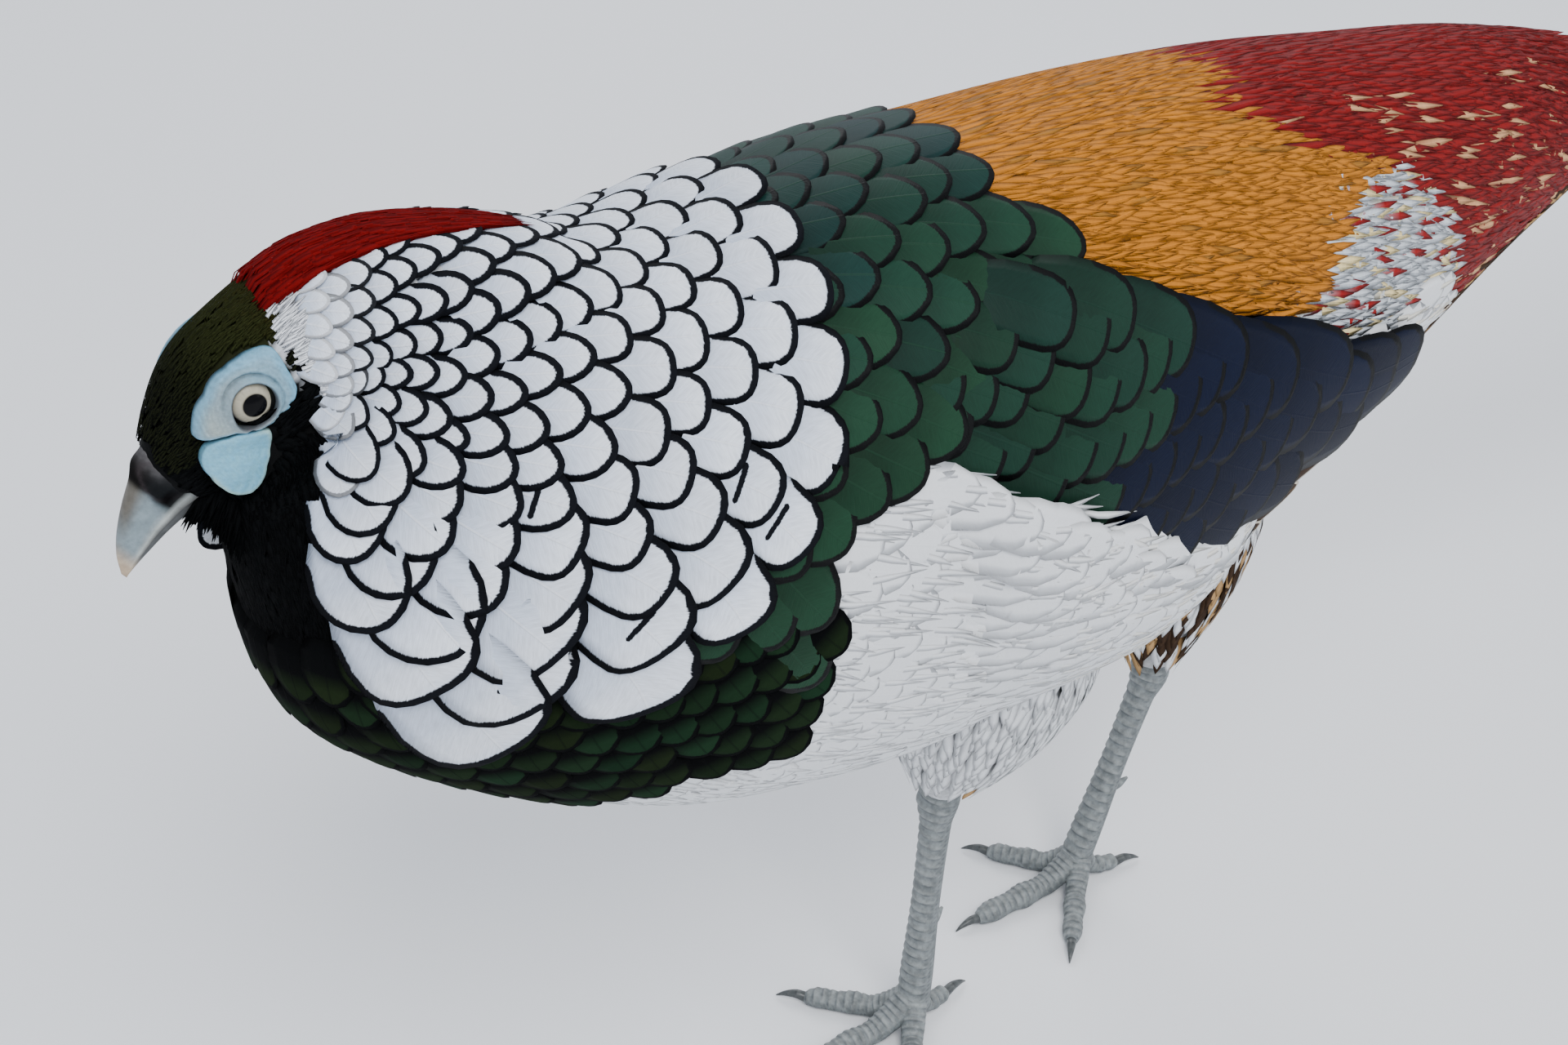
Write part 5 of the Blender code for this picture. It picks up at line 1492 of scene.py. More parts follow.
def build_down(bellies, rump):
    """Broad flat feathers that close the coat under the fine plumes."""
    u, turn = rows_over(trunk, 0.02, 0.86, 0.0080, 0.0088, 0.16)
    zone = trunk_zone(u, turn)
    left = np.sin(turn) >= 0
    along, across = wing_share(u, turn)
    bare = ~((across > 0.25) & (across < 1.5) & (along > -0.4) & (along < 0.95))
    for coat, chosen, colour, base, lift in (
        (bellies[0], (zone == BELLIES) & left, BELLY, 0.0004, flank_lift),
        (bellies[1], (zone == BELLIES) & ~left, BELLY, 0.0004, flank_lift),
        (rump, (zone == OCHRES) & bare, OCHRE * 0.8, 0.0, None),
        (rump, (zone == REDS) & bare, RED * 0.8, 0.0, None),
        (rump, (zone == PALES) & bare, PALE_GREY * 0.8, 0.0, None),
    ):
        number = chosen.sum()
        lean = body_lean(turn[chosen]) * 0.45 + rng.normal(0, 0.06, number)
        lay(coat, trunk, "trunk", SMALL, u[chosen], turn[chosen], 0.028 * rng.normal(1, 0.06, number),
            0.0072, lean, varied(colour, SMALL, number, 0.01), base, 0.002, lift=lift, wrap=0.075,
            shaft=colour, thick=0.0001)


def wing_lift(u, turn):
    along, _ = wing_share(u, turn)
    return 0.0036 * smooth(-0.02, 0.32, along)


def flank_lift(u, turn):
    """The flank's feathers swell over the folded wing's lower front edge."""
    along, across = wing_share(u, turn)
    near = smooth(0.5, 1.0, across) * (1 - smooth(1.1, 2.2, across))
    return 0.0074 * near * smooth(-0.02, 0.14, along) * (1 - smooth(0.60, 0.80, along))


def build_wing(coat, dark, side):
    """Green coverts in staggered rows, longer navy ones behind them, and the primaries' edges."""
    rows = []
    tier = 0
    tiers = [0.05]
    while tiers[-1] < 0.99:
        tiers.append(tiers[-1] + 0.050 + 0.026 * float(smooth(0.45, 0.80, tiers[-1])))
    for along in tiers:
        at = min(along, 1.0)
        u = WING_SPAN[0] + (WING_SPAN[1] - WING_SPAN[0]) * along
        upper, lower = np.interp(at, *WING_UPPER), np.interp(at, *WING_LOWER)
        width = math.radians(lower - upper) * WING_RADIUS
        number = max(2, round(width / (0.0145 + 0.0025 * along)))
        for k in range(number + 1 - tier % 2):
            across = (k + 0.5 * (tier % 2)) / number
            if across < 0.99:
                rows.append((u, math.radians(upper + (lower - upper) * (0.04 + 0.88 * across)), at))
        tier += 1
    u, turn, along = np.array(rows).T
    count = len(u)
    navy = u < np.interp(np.degrees(turn), *NAVY_EDGE)
    hue = mix(GREEN, TEAL, np.clip(rng.normal(0.22, 0.1, count) + 0.5 * smooth(0.40, 0.60, along), 0, 1))
    hue = np.where(navy[:, None], NAVY * 0.9 * rng.normal(1, 0.12, (count, 1)), hue * 0.85)
    length = np.interp(along, (0, 0.4, 0.75, 1), (0.026, 0.034, 0.050, 0.060)) * rng.normal(1, 0.03, count)
    half = np.interp(along, (0, 0.3, 0.7, 1), (0.0075, 0.0108, 0.0128, 0.0120))
    lean = np.radians(np.interp(along, (0, 0.5, 0.8, 1), (30, 34, 30, 12)))
    colours = varied(hue * 0.65, BROAD, count, 0.06, hue, 0.5, 0.9)
    base = 0.0004 + 0.0008 * smooth(0.1, 0.4, along)
    lay(coat, trunk, "trunk", BROAD, u, side * turn, length, half, lean, colours, base, 0.050,
        lift=wing_lift, edge=BLACK, edge_width=0.0014, wrap=0.056, tuck=0.01, shaft=hue, patch=0.005,
        thick=0.0003)

    # primaries under the lower rear edge
    along = np.linspace(0.58, 1.03, 7)
    at = np.minimum(along, 1.0)
    u = WING_SPAN[0] + (WING_SPAN[1] - WING_SPAN[0]) * along
    turn = np.radians(np.interp(at, *WING_LOWER) + np.linspace(3, 1, 7))
    colours = varied(BROWN * 0.8, BROAD, 7, 0.05, BROWN, 0.5, 1.0)
    lay(dark, trunk, "trunk", BROAD, u, side * turn, 0.085, 0.0065, math.radians(14), colours, 0.0012, 0.012,
        lift=lambda *_: 0.0020, edge=PRIMARY_EDGE, edge_width=0.0008, wrap=0.06, shaft=BUFF, patch=0.005)


THIGH_LOOKS = {  # where the feathers start, share of dark tips, and the height that these lie under
    "left": (0.09, 0.18, 0.101),
    "right": (0.02, 0.75, 0.135),
}


def build_thighs(coat):
    """White plumes down each thigh, with brown and buff tips above the hock."""
    for word, thigh in thighs.items():
        first, amount, level = THIGH_LOOKS[word]
        u, turn = rows_over(thigh, first, 0.97, 0.0042, 0.0034, 0.25)
        points = thigh.ring(u, turn)
        count = len(u)
        streak = rng.random(count)
        far = np.broadcast_to(BELLY, (count, 3)).copy()
        low = points[:, 2] < level
        far[low & (streak < amount * 0.45)] = BROWN
        far[low & (streak > amount * 0.45) & (streak < amount)] = BUFF
        lay(coat, thigh, word, PLUME, u, turn, 0.018 * rng.normal(1, 0.12, count), 0.0021,
            rng.normal(0, 0.12, count), varied(far * 0.9, PLUME, count, 0.05, far, 0.2, 0.8), 0.0004, 0.03,
            wrap=0.03, shaft=far, thick=0.00012)


CREST_FRONT, CREST_REAR, CREST_HALF = 0.2285, 0.1655, 0.0093
CREST_WIDTHS = ((0, 0.10, 0.35, 0.65, 0.88, 1.0), (0.86, 1.0, 0.92, 0.66, 0.34, 0.06))


def crest_width(x):
    """Half width of the crest at this distance along the bird."""
    return CREST_HALF * np.interp((CREST_FRONT - x) / (CREST_FRONT - CREST_REAR), *CREST_WIDTHS)


def under_crest(points, margin=0.0):
    x, y, z = np.moveaxis(points, -1, 0)
    inside = (x < CREST_FRONT - 0.5 * margin) & (x > CREST_REAR + margin)
    return inside & (np.abs(y) < crest_width(x) - margin) & (z > np.interp(x, *CREST_LINE) - 0.012)


def build_crest(coat, ground):
    """Long narrow crimson feathers from the rear of the crown along the nape, a smooth dark band."""
    count = 1700
    reach = CREST_FRONT - CREST_REAR
    start = rng.random(count) ** 1.05 * 0.84 * reach - 0.002
    length = np.minimum(rng.uniform(0.012, 0.022, count), reach - start + rng.normal(0, 0.0012, count))
    aside = np.sqrt(rng.random(count)) * rng.choice((-1, 1), count)
    aside = np.sign(aside) * (0.25 * np.abs(aside) + 0.75 * aside**2)
    at = start[:, None] + length[:, None] * HAIR.shares
    x = CREST_FRONT - at
    y = aside[:, None] * (crest_width(CREST_FRONT - start[:, None]) * 0.45 + crest_width(x) * 0.55)
    z = np.interp(x, *CREST_LINE) - 22 * y**2
    places, normals = ground.near(np.stack((x, y, z), -1))
    share = HAIR.shares
    level = (rng.uniform(0.0014, 0.0022, count)[:, None] * smooth(0, 0.3, share)
             - 0.0014 * (1 - smooth(0, 0.3, share)))
    centres = places + normals * level[..., None]
    sides = unit(np.cross(unit(np.gradient(centres, axis=1)), normals))
    bake = skin_place("head", 0.02 + 0.5 * start / reach, aside * 0.8)
    colours = varied(CREST * 0.8, HAIR, count, 0.10, CREST, 0.1, 0.6)
    coat.add(HAIR, centres, sides, normals, 0.0008, length, 0.0002, colours, bake, shaft=CREST * 1.1,
             wrap=0.02)


class Outline:
    """A closed line round a centre, read as the distance at each angle."""

    def __init__(self, centre, points):
        self.centre = np.array(centre)
        away = np.array(points) / 1000 - self.centre
        angle = np.arctan2(away[:, 1], away[:, 0])
        order = np.argsort(angle)
        fine = np.linspace(-np.pi, np.pi, 361)[:-1]
        reach = np.interp(fine, angle[order], np.linalg.norm(away, axis=1)[order], period=2 * np.pi)
        kernel = np.hanning(15) / np.hanning(15).sum()
        self.fine = fine
        self.reaches = np.convolve(np.r_[reach[-7:], reach, reach[:7]], kernel, "valid")

    def reach(self, angle):
        return np.interp(angle, self.fine, self.reaches, period=2 * np.pi)

    def share(self, along, up):
        """Distance from the centre as a share of the way to the line."""
        a, b = along - self.centre[0], up - self.centre[1]
        return np.hypot(a, b) / self.reach(np.arctan2(b, a))


ring_line = Outline((EYE_ALONG, EYE_UP), RING_OUTLINE)
lappet_line = Outline((0.0115, -0.0045), LAPPET_OUTLINE)


def on_bare_skin(points, margin=0.0):
    along, up = head_place(points)
    near = np.minimum(ring_line.share(along, up), lappet_line.share(along, up))
    return (near < 1 + margin / 0.009) & (np.abs(points[..., 1]) > 0.006)


HEAD_ROWS = np.array(HEAD)
HEAD_SLOPES = slopes_of(HEAD_ROWS[:, 0], HEAD_ROWS)


def head_side(along, up):
    """Half width of the skull at this place of its side."""
    places = HEAD_ROWS[:, 0]
    row = read_rows(places, HEAD_ROWS, HEAD_SLOPES, np.clip(along, places[0], places[-1]))
    top, bottom, half = row[..., 1], row[..., 2], row[..., 3]
    share = (up - (top + bottom) / 2) / ((top - bottom) / 2)
    return half * np.sqrt(np.clip(1 - share**2, 0.02, 1))


def face_side(along, up):
    """Outward distance of the head's side with the swelling round the eye and of the lappet."""
    side = head_side(along, up)
    for (a, out, n), (half_along, half_out, half_up) in FACE_LOBES:
        away = 1 - ((along - a) / half_along) ** 2 - ((up - n) / half_up) ** 2
        lobe = np.where(away > 0, out + half_out * np.sqrt(np.clip(away, 0, 1)),
                        out * np.exp(np.clip(away, -9, 0) * 1.2))
        side = (side + lobe + np.sqrt((side - lobe) ** 2 + 0.0010**2)) / 2
    return side


def ripple(along, up, scale, seed):
    """A smooth random field, for fine folds."""
    own = np.random.default_rng(seed)
    total = np.zeros(np.shape(along))
    for _ in range(14):
        angle, wave, phase = own.uniform(0, np.pi), scale * own.uniform(0.6, 1.8), own.uniform(0, 2 * np.pi)
        total = total + np.sin((along * np.cos(angle) + up * np.sin(angle)) / wave * 2 * np.pi + phase)
    return total / 14


def build_face(turn_side, word):
    """Bare blue skin: lids and folds round the eye, and the lappet below it."""
    face = Solids("face_" + word, skin_material)
    turns = np.linspace(-np.pi, np.pi, 160, endpoint=False)

    # round the eye: from the lid's inner wall out to the edge, then back underneath
    corner = np.exp(-(((turns + 0.35 + np.pi) % (2 * np.pi) - np.pi) / 0.55) ** 2)
    opening = 0.0045 + 0.0010 * corner
    reach = ring_line.reach(turns)
    shares = np.r_[0.0, 0.0, 0.03, np.linspace(0.07, 0.90, 42), 0.95, 0.985, 1.0, 0.98, 0.6, 0.2, 0.0]
    drops = np.r_[-0.0030, -0.0006, 0.0, np.zeros(42), 0.0, -0.0002, -0.0008, -0.0020,
                  -0.0028, -0.0030, -0.0042]
    radius = opening + shares[:, None] * (reach - opening)
    along = EYE_ALONG + radius * np.cos(turns)
    up = EYE_UP + radius * np.sin(turns)
    top = (drops > -0.0007)[:, None]
    fold = ripple(along, up, 0.0030, 3)
    rings = np.sin((radius - opening) / 0.00085 * 2 * np.pi + 2.2 * fold + turns * 0.5)
    away = (radius - opening) / 0.001
    lid = 0.00055 * np.exp(-((away - 0.55) / 0.5) ** 2)
    front = np.clip(np.cos(turns - 1.9), 0, 1) ** 0.7
    crease = -0.00045 * np.exp(-((away - 1.75) / 0.30) ** 2) * front
    crease = (crease - 0.00025 * np.exp(-((away - 1.6) / 0.25) ** 2)
              * np.clip(np.cos(turns + 0.1 - np.pi), 0, 1))
    fine = (0.00007 * rings * smooth(0.9, 1.6, away) * np.clip(0.4 + 1.6 * fold, 0, 1.2)
            + 0.00018 * ripple(along, up, 0.0014, 5))
    side = face_side(along, up) + 0.0004 + drops[:, None] + np.where(top, lid + crease + fine, 0)
    wrinkles = rings * smooth(0.9, 1.8, away) * np.clip(0.3 + 1.8 * fold, 0, 1)
    # Painted shade: the fine rings are lighter on their ridges and darker in their grooves, and the crease is
    # darker by its depth; the ripples are random tone.
    tone = 0.88 + 0.12 * wrinkles + 0.22 * ripple(along, up, 0.0019, 6) + 900 * np.minimum(crease, 0)
    tone = tone + 0.10 * ripple(along, up, 0.0007, 16)
    blue = smooth(0.55, 1.0, np.broadcast_to(shares[:, None], radius.shape))
    back = smooth(0.002, -0.006, along)
    colour = mix(SKIN_GREY, SKIN_BLUE, np.clip(0.85 * blue + 0.5 * back, 0, 1))
    colour = mix(colour, SKIN_PALE, 0.6 * smooth(0.004, 0.010, along) * (1 - blue))
    colour = mix(colour, LID_DARK, 0.85 * np.exp(-((away - 0.05) / 0.34) ** 2))
    points = on_head(along, turn_side * side, up)
    # The lid's inner wall and the skin turned back under the edge are darkened to 0.4, painted shade in the
    # recess and underneath.
    colour = colour * np.clip(tone, 0.3, 1.2)[..., None] * np.where(top, 1, 0.4)[..., None]
    face.tube(points, colour, (0.01, 0.01, 0.48, 0.98), ring=True)

    # the lappet: a soft pad hanging clear of the cheek
    shares = np.r_[0.002, np.linspace(0.06, 0.88, 26), 0.93, 0.97, 0.99, 1.0, 0.97, 0.6, 0.002]
    thick = np.r_[np.zeros(27), -0.0001, -0.0004, -0.0008, -0.0016, -0.0030, -0.0036, -0.0036]
    reach = lappet_line.reach(turns)
    centre_along, centre_up = lappet_line.centre
    along = centre_along + shares[:, None] * reach * np.cos(turns)
    up = centre_up + shares[:, None] * reach * np.sin(turns)
    pad = 0.0140 - (along - 0.0100) ** 2 / 0.060 - (up + 0.0050) ** 2 / 0.120
    base = face_side(along, up) + 0.0006
    side = (base + pad + np.sqrt((base - pad) ** 2 + 0.0008**2)) / 2
    top = (thick > -0.0005)[:, None]
    grain = ripple(along * 2.2, up, 0.0026, 8)
    side = side + thick[:, None] + np.where(top, 0.00012 * grain + 0.00010 * ripple(along, up, 0.0013, 9), 0)
    rim = smooth(0.80, 1.0, np.broadcast_to(shares[:, None], side.shape))
    colour = mix(LAPPET_PALE, LAPPET_BLUE, np.clip(0.5 + grain, 0, 1))
    colour = mix(colour, LAPPET_RIM, 0.8 * rim * smooth(-0.001, -0.004, up) + 0 * up)
    colour = colour * (0.97 + 0.12 * grain + 0.16 * ripple(3.0 * along, 0.8 * up, 0.0012, 10))[..., None]
    # The pad's underside is darkened to half, painted shade.
    face.tube(on_head(along, turn_side * side, up), colour * np.where(top, 1, 0.5)[..., None],
              (0.51, 0.01, 0.48, 0.98))
    face.build()


def build_eye(turn_side, word):
    """A glossy eyeball: dark pupil, pale iris with a fine dark rim, black beyond."""
    eye = Solids("eyeball_" + word, eye_material)
    polar = np.linspace(0.02, np.pi - 0.02, 60)[:, None]
    turns = np.linspace(0, 2 * np.pi, 72, endpoint=False)[None]
    bulge = EYE_RADIUS + 0.0003 * np.exp(-((polar / 0.6) ** 2))
    points = EYE_PLACE * (1, turn_side, 1) + np.stack(
        (bulge * np.sin(polar) * np.cos(turns), turn_side * bulge * np.cos(polar) + 0 * turns,
         bulge * np.sin(polar) * np.sin(turns)), -1)
    radius = np.broadcast_to(EYE_RADIUS * np.sin(polar) * 1000, points.shape[:2])
    radius = np.where(np.broadcast_to(polar, radius.shape) > np.pi / 2, 9.0, radius)
    streak = 0.5 + 0.25 * np.sin(turns * 23 + 2 * np.sin(turns * 5)) + 0.25 * np.sin(turns * 41)
    iris = mix(IRIS_PALE, IRIS_STREAK, 0.45 * streak * smooth(2.4, 3.4, radius))
    iris = mix(iris, IRIS_INNER, 0.7 * smooth(2.75, PUPIL_RADIUS, radius))
    iris = mix(iris, IRIS_OUTER, smooth(3.9, 4.25, radius))
    colour = mix(np.broadcast_to(PUPIL, iris.shape), iris,
                 smooth(PUPIL_RADIUS, 2.5, radius) * (1 - smooth(IRIS_RADIUS, 4.4, radius)))
    eye.tube(points, colour, (0.01, 0.01, 0.98, 0.98))
    made = eye.build()
    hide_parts("eye_" + word)


def build_bill():
    """Horn-coloured bill with a dark cere, its nostril flaps, and a line where the two halves meet."""
    bill = Solids("bill", horn_material)
    rows = np.array(BILL)
    alongs = np.linspace(rows[0, 0], rows[-1, 0], 70)
    fine = read_rows(rows[:, 0], rows, slopes_of(rows[:, 0], rows), alongs)
    _, culmen, mouth, under, half = fine.T[:, :, None]
    along = alongs[:, None]
    turns = np.linspace(-np.pi / 2, 1.5 * np.pi, 64, endpoint=False)[None]
    crown, across = np.sin(turns), np.cos(turns)
    for name, crest_line, side_share in (("upper", culmen, 1.0), ("lower", under, 0.90)):
        top = np.clip(crown, 0, 1)
        shut = np.clip(-crown, 0, 1)
        up = (mouth + (crest_line - mouth) * top ** 0.92
              + (0.0008 if name == "upper" else -0.0008) * -0.4 * shut)
        side = half * side_share * np.sign(across) * np.abs(across) ** 0.85
        grain = ripple(along + 0 * turns, 3 * up, 0.006, 12)
        high = (up - mouth) / np.maximum(np.abs(crest_line - mouth), 1e-4)
        if name == "upper":
            flap = np.exp(-(((along - 0.0256) / 0.0030) ** 2) - ((high - 0.62) / 0.26) ** 2)
            slit = np.exp(-(((along - 0.0276) / 0.0022) ** 2) - ((high - 0.36) / 0.08) ** 2)
            side = side + np.sign(side) * (0.0010 * flap - 0.0006 * slit)
            up = up + 0.0008 * np.exp(-(((along - 0.0262) / 0.0022) ** 2)) * smooth(0.5, 1.0, high)
            colour = mix(BILL_GREY, BILL_RIDGE, smooth(0.30, 0.05, high))
            colour = mix(colour, BILL_BROWN, 0.8 * smooth(0.62, 0.95, high) * smooth(0.0435, 0.034, along))
            colour = mix(colour, BILL_TIP, smooth(0.0405, 0.0455, along) + 0 * high)
            uneven = 0.0009 * ripple(along + 0 * turns, up, 0.0040, 21)
            dark = smooth(0.0306, 0.0286, along + uneven) * smooth(0.06, 0.22, high)
            colour = mix(colour, BILL_PATCH, 0.97 * dark)
            matt = dark
            patch = np.exp(-(((along - 0.0228) / 0.0019) ** 2) - ((high - 0.86) / 0.26) ** 2)
            colour = mix(colour, BILL_RIPPLE,
                         0.85 * patch * (0.7 + 0.6 * ripple(along + 0 * turns, up, 0.0012, 22)))
            rim = np.exp(-((np.hypot((along - 0.0256) / 0.0036, (high - 0.60) / 0.34) - 1) / 0.12) ** 2)
            colour = mix(colour, BILL_RIM, 0.45 * rim * dark)
            colour = mix(colour, NOSTRIL, np.clip(1.4 * slit, 0, 1))
        else:
            high = np.clip(high, 0, 1)
            colour = mix(LOWER_PALE, LOWER_GREY, smooth(0.3, 1.0, high))
            matt = np.zeros(high.shape)
            colour = mix(colour, LOWER_TIP, smooth(0.040, 0.0445, along) + 0 * high)
        line = smooth(0.10, 0.02, np.abs(high)) * smooth(0.046, 0.040, along)
        colour = mix(colour, MOUTH_LINE, 0.8 * line)
        streaks = ripple(0.25 * along + 0 * turns, 4 * up, 0.0030, 23)
        colour = colour * (1 + 0.10 * grain + 0.16 * streaks)[..., None]
        points = on_head(along + 0 * turns, side, up + 0 * along)
        bill.tube(points, colour, (0.01 if name == "upper" else 0.51, 0.01, 0.48, 0.98), number=matt)
    made = bill.build()
    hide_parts("bill_upper", "bill_lower")


def limb(piece, line, radii, rows, columns, rect, plates=0.0026, front=(1, 0, 0), relief=0.05, pad=0.0,
         tint=1.0):
    """A scaled tube along a line of points, with plates on the side that faces front."""
    line, radii = np.array(line, float), np.array(radii, float)
    arc = np.r_[0, np.cumsum(np.linalg.norm(np.diff(line, axis=0), axis=1))]
    table = np.c_[line, radii]
    at = np.linspace(0, arc[-1], rows)
    fine = read_rows(arc, table, slopes_of(arc, table), at)
    centres, radius = fine[:, :3], fine[:, 3]
    heading = unit(np.gradient(centres, axis=0))
    ahead = np.array(front, float)
    ahead = unit(ahead - heading * (heading @ ahead)[:, None])
    beside = np.cross(heading, ahead)
    turns = np.linspace(0, 2 * np.pi, columns, endpoint=False)
    facing = np.clip(np.cos(turns) * 1.6 + 0.2, 0, 1)
    phase = (at[:, None] / plates + 0.10 * np.cos(turns) * 2) % 1
    step = smooth(0.0, 0.85, phase) - smooth(0.88, 1.0, phase)
    small = 0.5 + 0.5 * np.sin(at[:, None] / plates * 4 * np.pi + 3 * np.cos(turns * 5)) * np.cos(turns * 7)
    size = radius[:, None] * (1 + relief * step * facing + 0.025 * small * (1 - facing))
    dents = (np.cos(turns) < -0.3) * (0.5 + 0.5 * np.cos(at[:, None] / 0.011 * 2 * np.pi))
    size = size * (1 - pad * dents * 0.12)
    outward = np.cos(turns)[:, None] * ahead[:, None] + np.sin(turns)[:, None] * beside[:, None]
    points = centres[:, None] + size[..., None] * outward
    points[..., 2] = np.maximum(points[..., 2], FLOOR)
    groove = (facing * (smooth(0.90, 1.0, phase) + smooth(0.10, 0.0, phase))
              + (1 - facing) * smooth(0.35, 0.1, small))
    own = mix(PLATE, PLATE_LIT, 0.6 * facing * smooth(0.2, 0.8, phase))
    colour = mix(own, PLATE_GROOVE, np.clip(groove, 0, 1) * 0.75)
    piece.tube(points, colour * tint, rect)


def build_leg(word):
    """Tarsus, spur, foot and toes of one leg as scaled tubes, and its claws as a piece of its own."""
    hip, hock, ankle = (np.array(place) for place in LEGS[word])
    side = 1 if word == "left" else -1
    shin, down = unit(hock - hip), unit(ankle - hock)
    leg = Solids("leg_" + word, leg_material)
    line = (hock - shin * 0.008, hock, hock + down * 0.010, (hock + ankle) / 2, ankle, ankle + down * 0.006)
    limb(leg, line, TARSUS_RADII, 150, 32, (0.01, 0.01, 0.30, 0.98), plates=0.0036, relief=0.09)
    root = hock + (ankle - hock) * 0.68
    spur = [root, root + (-0.005, -0.001 * side, 0), root + (-0.009, -0.002 * side, 0.002)]
    limb(leg, spur, (0.0026, 0.0018, 0.0004), 16, 16, (0.33, 0.01, 0.08, 0.30), relief=0.0, front=(0, 0, 1))
    claws = Solids("claws_" + word, claw_material)
    for k, (heading, length, radius) in enumerate(TOES.values()):
        turn = math.radians(-heading * side)
        ahead = np.array((math.cos(turn), math.sin(turn), 0))
        foot = np.array((ankle[0], ankle[1], 0))
        line = [foot + ahead * length * share + (0, 0, high) for share, _, high in TOE_STATIONS]
        line[0] = line[0] + (0, 0, 0.003)
        radii = [radius * swell for _, swell, _ in TOE_STATIONS]
        line.append(line[-1] + ahead * 0.0012)
        radii.append(radius * 0.30)
        limb(leg, line, radii, int(length * 2200), 24, (0.43 + 0.14 * k, 0.01, 0.12, 0.98), plates=0.0025,
             front=(0, 0, 1), relief=0.10, pad=1.0)
        tip = foot + ahead * length + (0, 0, TOE_STATIONS[-1][2])
        arc = ([tip - ahead * 0.0012]
               + [tip + ahead * CLAW_LENGTH * share + (0, 0, rise) for share, rise, _ in CLAW_STATIONS])
        widths = [CLAW_RADIUS * 1.05] + [CLAW_RADIUS * width for _, _, width in CLAW_STATIONS]
        limb(claws, arc, widths, 30, 18, (0.01 + 0.25 * k, 0.01, 0.22, 0.98), relief=0.0, front=(0, 0, 1),
             tint=0.35)
    made = leg.build()
    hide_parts("tarsus_" + word, "foot_" + word)
    made = claws.build()
    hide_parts(*("claw_" + word + "_" + toe for toe in TOES))


class Lance:
    """The outline of a tail feather, as Shape holds it for smaller ones."""

    def __init__(self, rows, columns, shares=TAIL_SHARES, widths=TAIL_WIDTHS):
        plain = Shape((rows // 2, rows - rows // 2), columns)
        self.shares = np.linspace(0, 1, rows)
        places, table = np.array(shares), np.array(widths)[:, None]
        self.widths = read_rows(places, table, slopes_of(places, table), self.shares)[:, 0]
        self.across, self.size, self.inside = plain.across, plain.size, plain.inside
        self.faces, self.count = plain.faces, plain.count

    rims = Shape.rims


def tail_fall(back):
    return TAIL_DROOP * (np.clip(back, 0, None) / TAIL_PAIRS[0][0]) ** TAIL_CURVE


def build_tail():
    """Eighteen barred tail feathers, the top pair far the longest."""
    tail = Coat("tail_feathers", tail_material)
    for pair, (length, half, aside, level) in enumerate(TAIL_PAIRS):
        shape = Lance(120 if pair == 0 else 64, 13)
        for k, side in enumerate((1, -1)):
            under = TAIL_UNDER if pair == 0 and side < 0 else 0.0
            back = length * shape.shares
            spread = side * aside * np.minimum(1, 0.3 + back / 0.10)
            centres = TAIL_ROOT + np.stack((-back, spread, -level - under - tail_fall(back)), -1)
            roll = 0.0 if aside < half else TAIL_ROLL
            sides = np.broadcast_to(unit(np.array((0, -1, roll * side))), centres.shape)
            normals = np.broadcast_to(unit(np.array((0, roll * side, 1))), centres.shape)
            outer = (np.clip((-side * shape.across), 0, 1)[None, None, :, None]
                     if pair else np.zeros((1, 1, len(shape.across), 1)))
            colours = TAIL_GREY * (1 - 0.9 * outer) + TAIL_BROWN * 0.9 * outer
            colours = np.broadcast_to(colours, (1, *shape.size, 3))
            bake = np.array(((0.03 + 0.055 * (2 * pair + k), 0.5),))
            start = len(tail.parts["bake"])
            tail.add(shape, centres[None], sides[None], normals[None], half, length, 0.0008, colours, bake,
                     wrap=0.09, tuck=0.05, shaft=TAIL_SHAFT, patch=0.045)
            place = tail.parts["bake"][start]
            share = (place[:, 1] - 0.5) / 0.045 + 0.5
            place[:, 1] = 0.01 + 0.98 * share
    made = tail.build()
    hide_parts("tail")


def build_coverts(coat, dark):
    """Long pointed coverts over the tail's root, red tipped, and dark ones under it."""
    shape = Lance(24, 5, (0, 0.3, 0.7, 0.9, 1.0), (0.8, 1.0, 0.8, 0.45, 0.06))
    for number, low, high, reach, level, over in ((26, 0.05, 0.14, 0.030, 0.0052, 1),
                                                  (16, 0.05, 0.10, 0.020, -0.0165, -1)):
        length = rng.uniform(low, high, number)
        aside = np.linspace(-reach, reach, number) + rng.normal(0, 0.0008, number)
        back = length[:, None] * shape.shares
        start = np.array((-0.175, 0, 0.2600 if over > 0 else 0.2400))
        settle = smooth(0, 0.045, back)
        curve = (aside[:, None] / reach) ** 2
        top = TAIL_ROOT[2] + level - over * 0.012 * curve - tail_fall(back - 0.025)
        z = (mix_number(start[2] + over * 0.018 * (1 - curve), top + over * 0.001, settle)
             + rng.uniform(-0.0008, 0.0008, number)[:, None])
        centres = np.stack((start[0] - back, aside[:, None] * (0.75 + 0.25 * shape.shares), z), -1)
        tilt = over * aside[:, None] / reach * 0.6 + 0 * back
        normals = unit(np.stack((0 * back, tilt, over * np.ones_like(back)), -1))
        sides = unit(np.cross(unit(np.gradient(centres, axis=1)), normals))
        if over > 0:
            first = mix(np.broadcast_to(RED, (number, 3)), PALE_GREY, 0.7 * (rng.random(number) < 0.3))
            last = ORANGE_RED
        else:
            first, last = BROWN * 0.5, BROWN * 0.8
        colours = varied(first, shape, number, 0.10, last, 0.2, 0.6)
        bake = skin_place("tail", 0.5 + 0 * aside, aside / reach)
        coat_for = coat if over > 0 else dark
        coat_for.add(shape, centres, sides, normals, 0.0052, length, 0.0004, colours, bake, wrap=0.02,
                     shaft=last * 1.2)


def mix_number(a, b, share):
    return a * (1 - share) + b * share


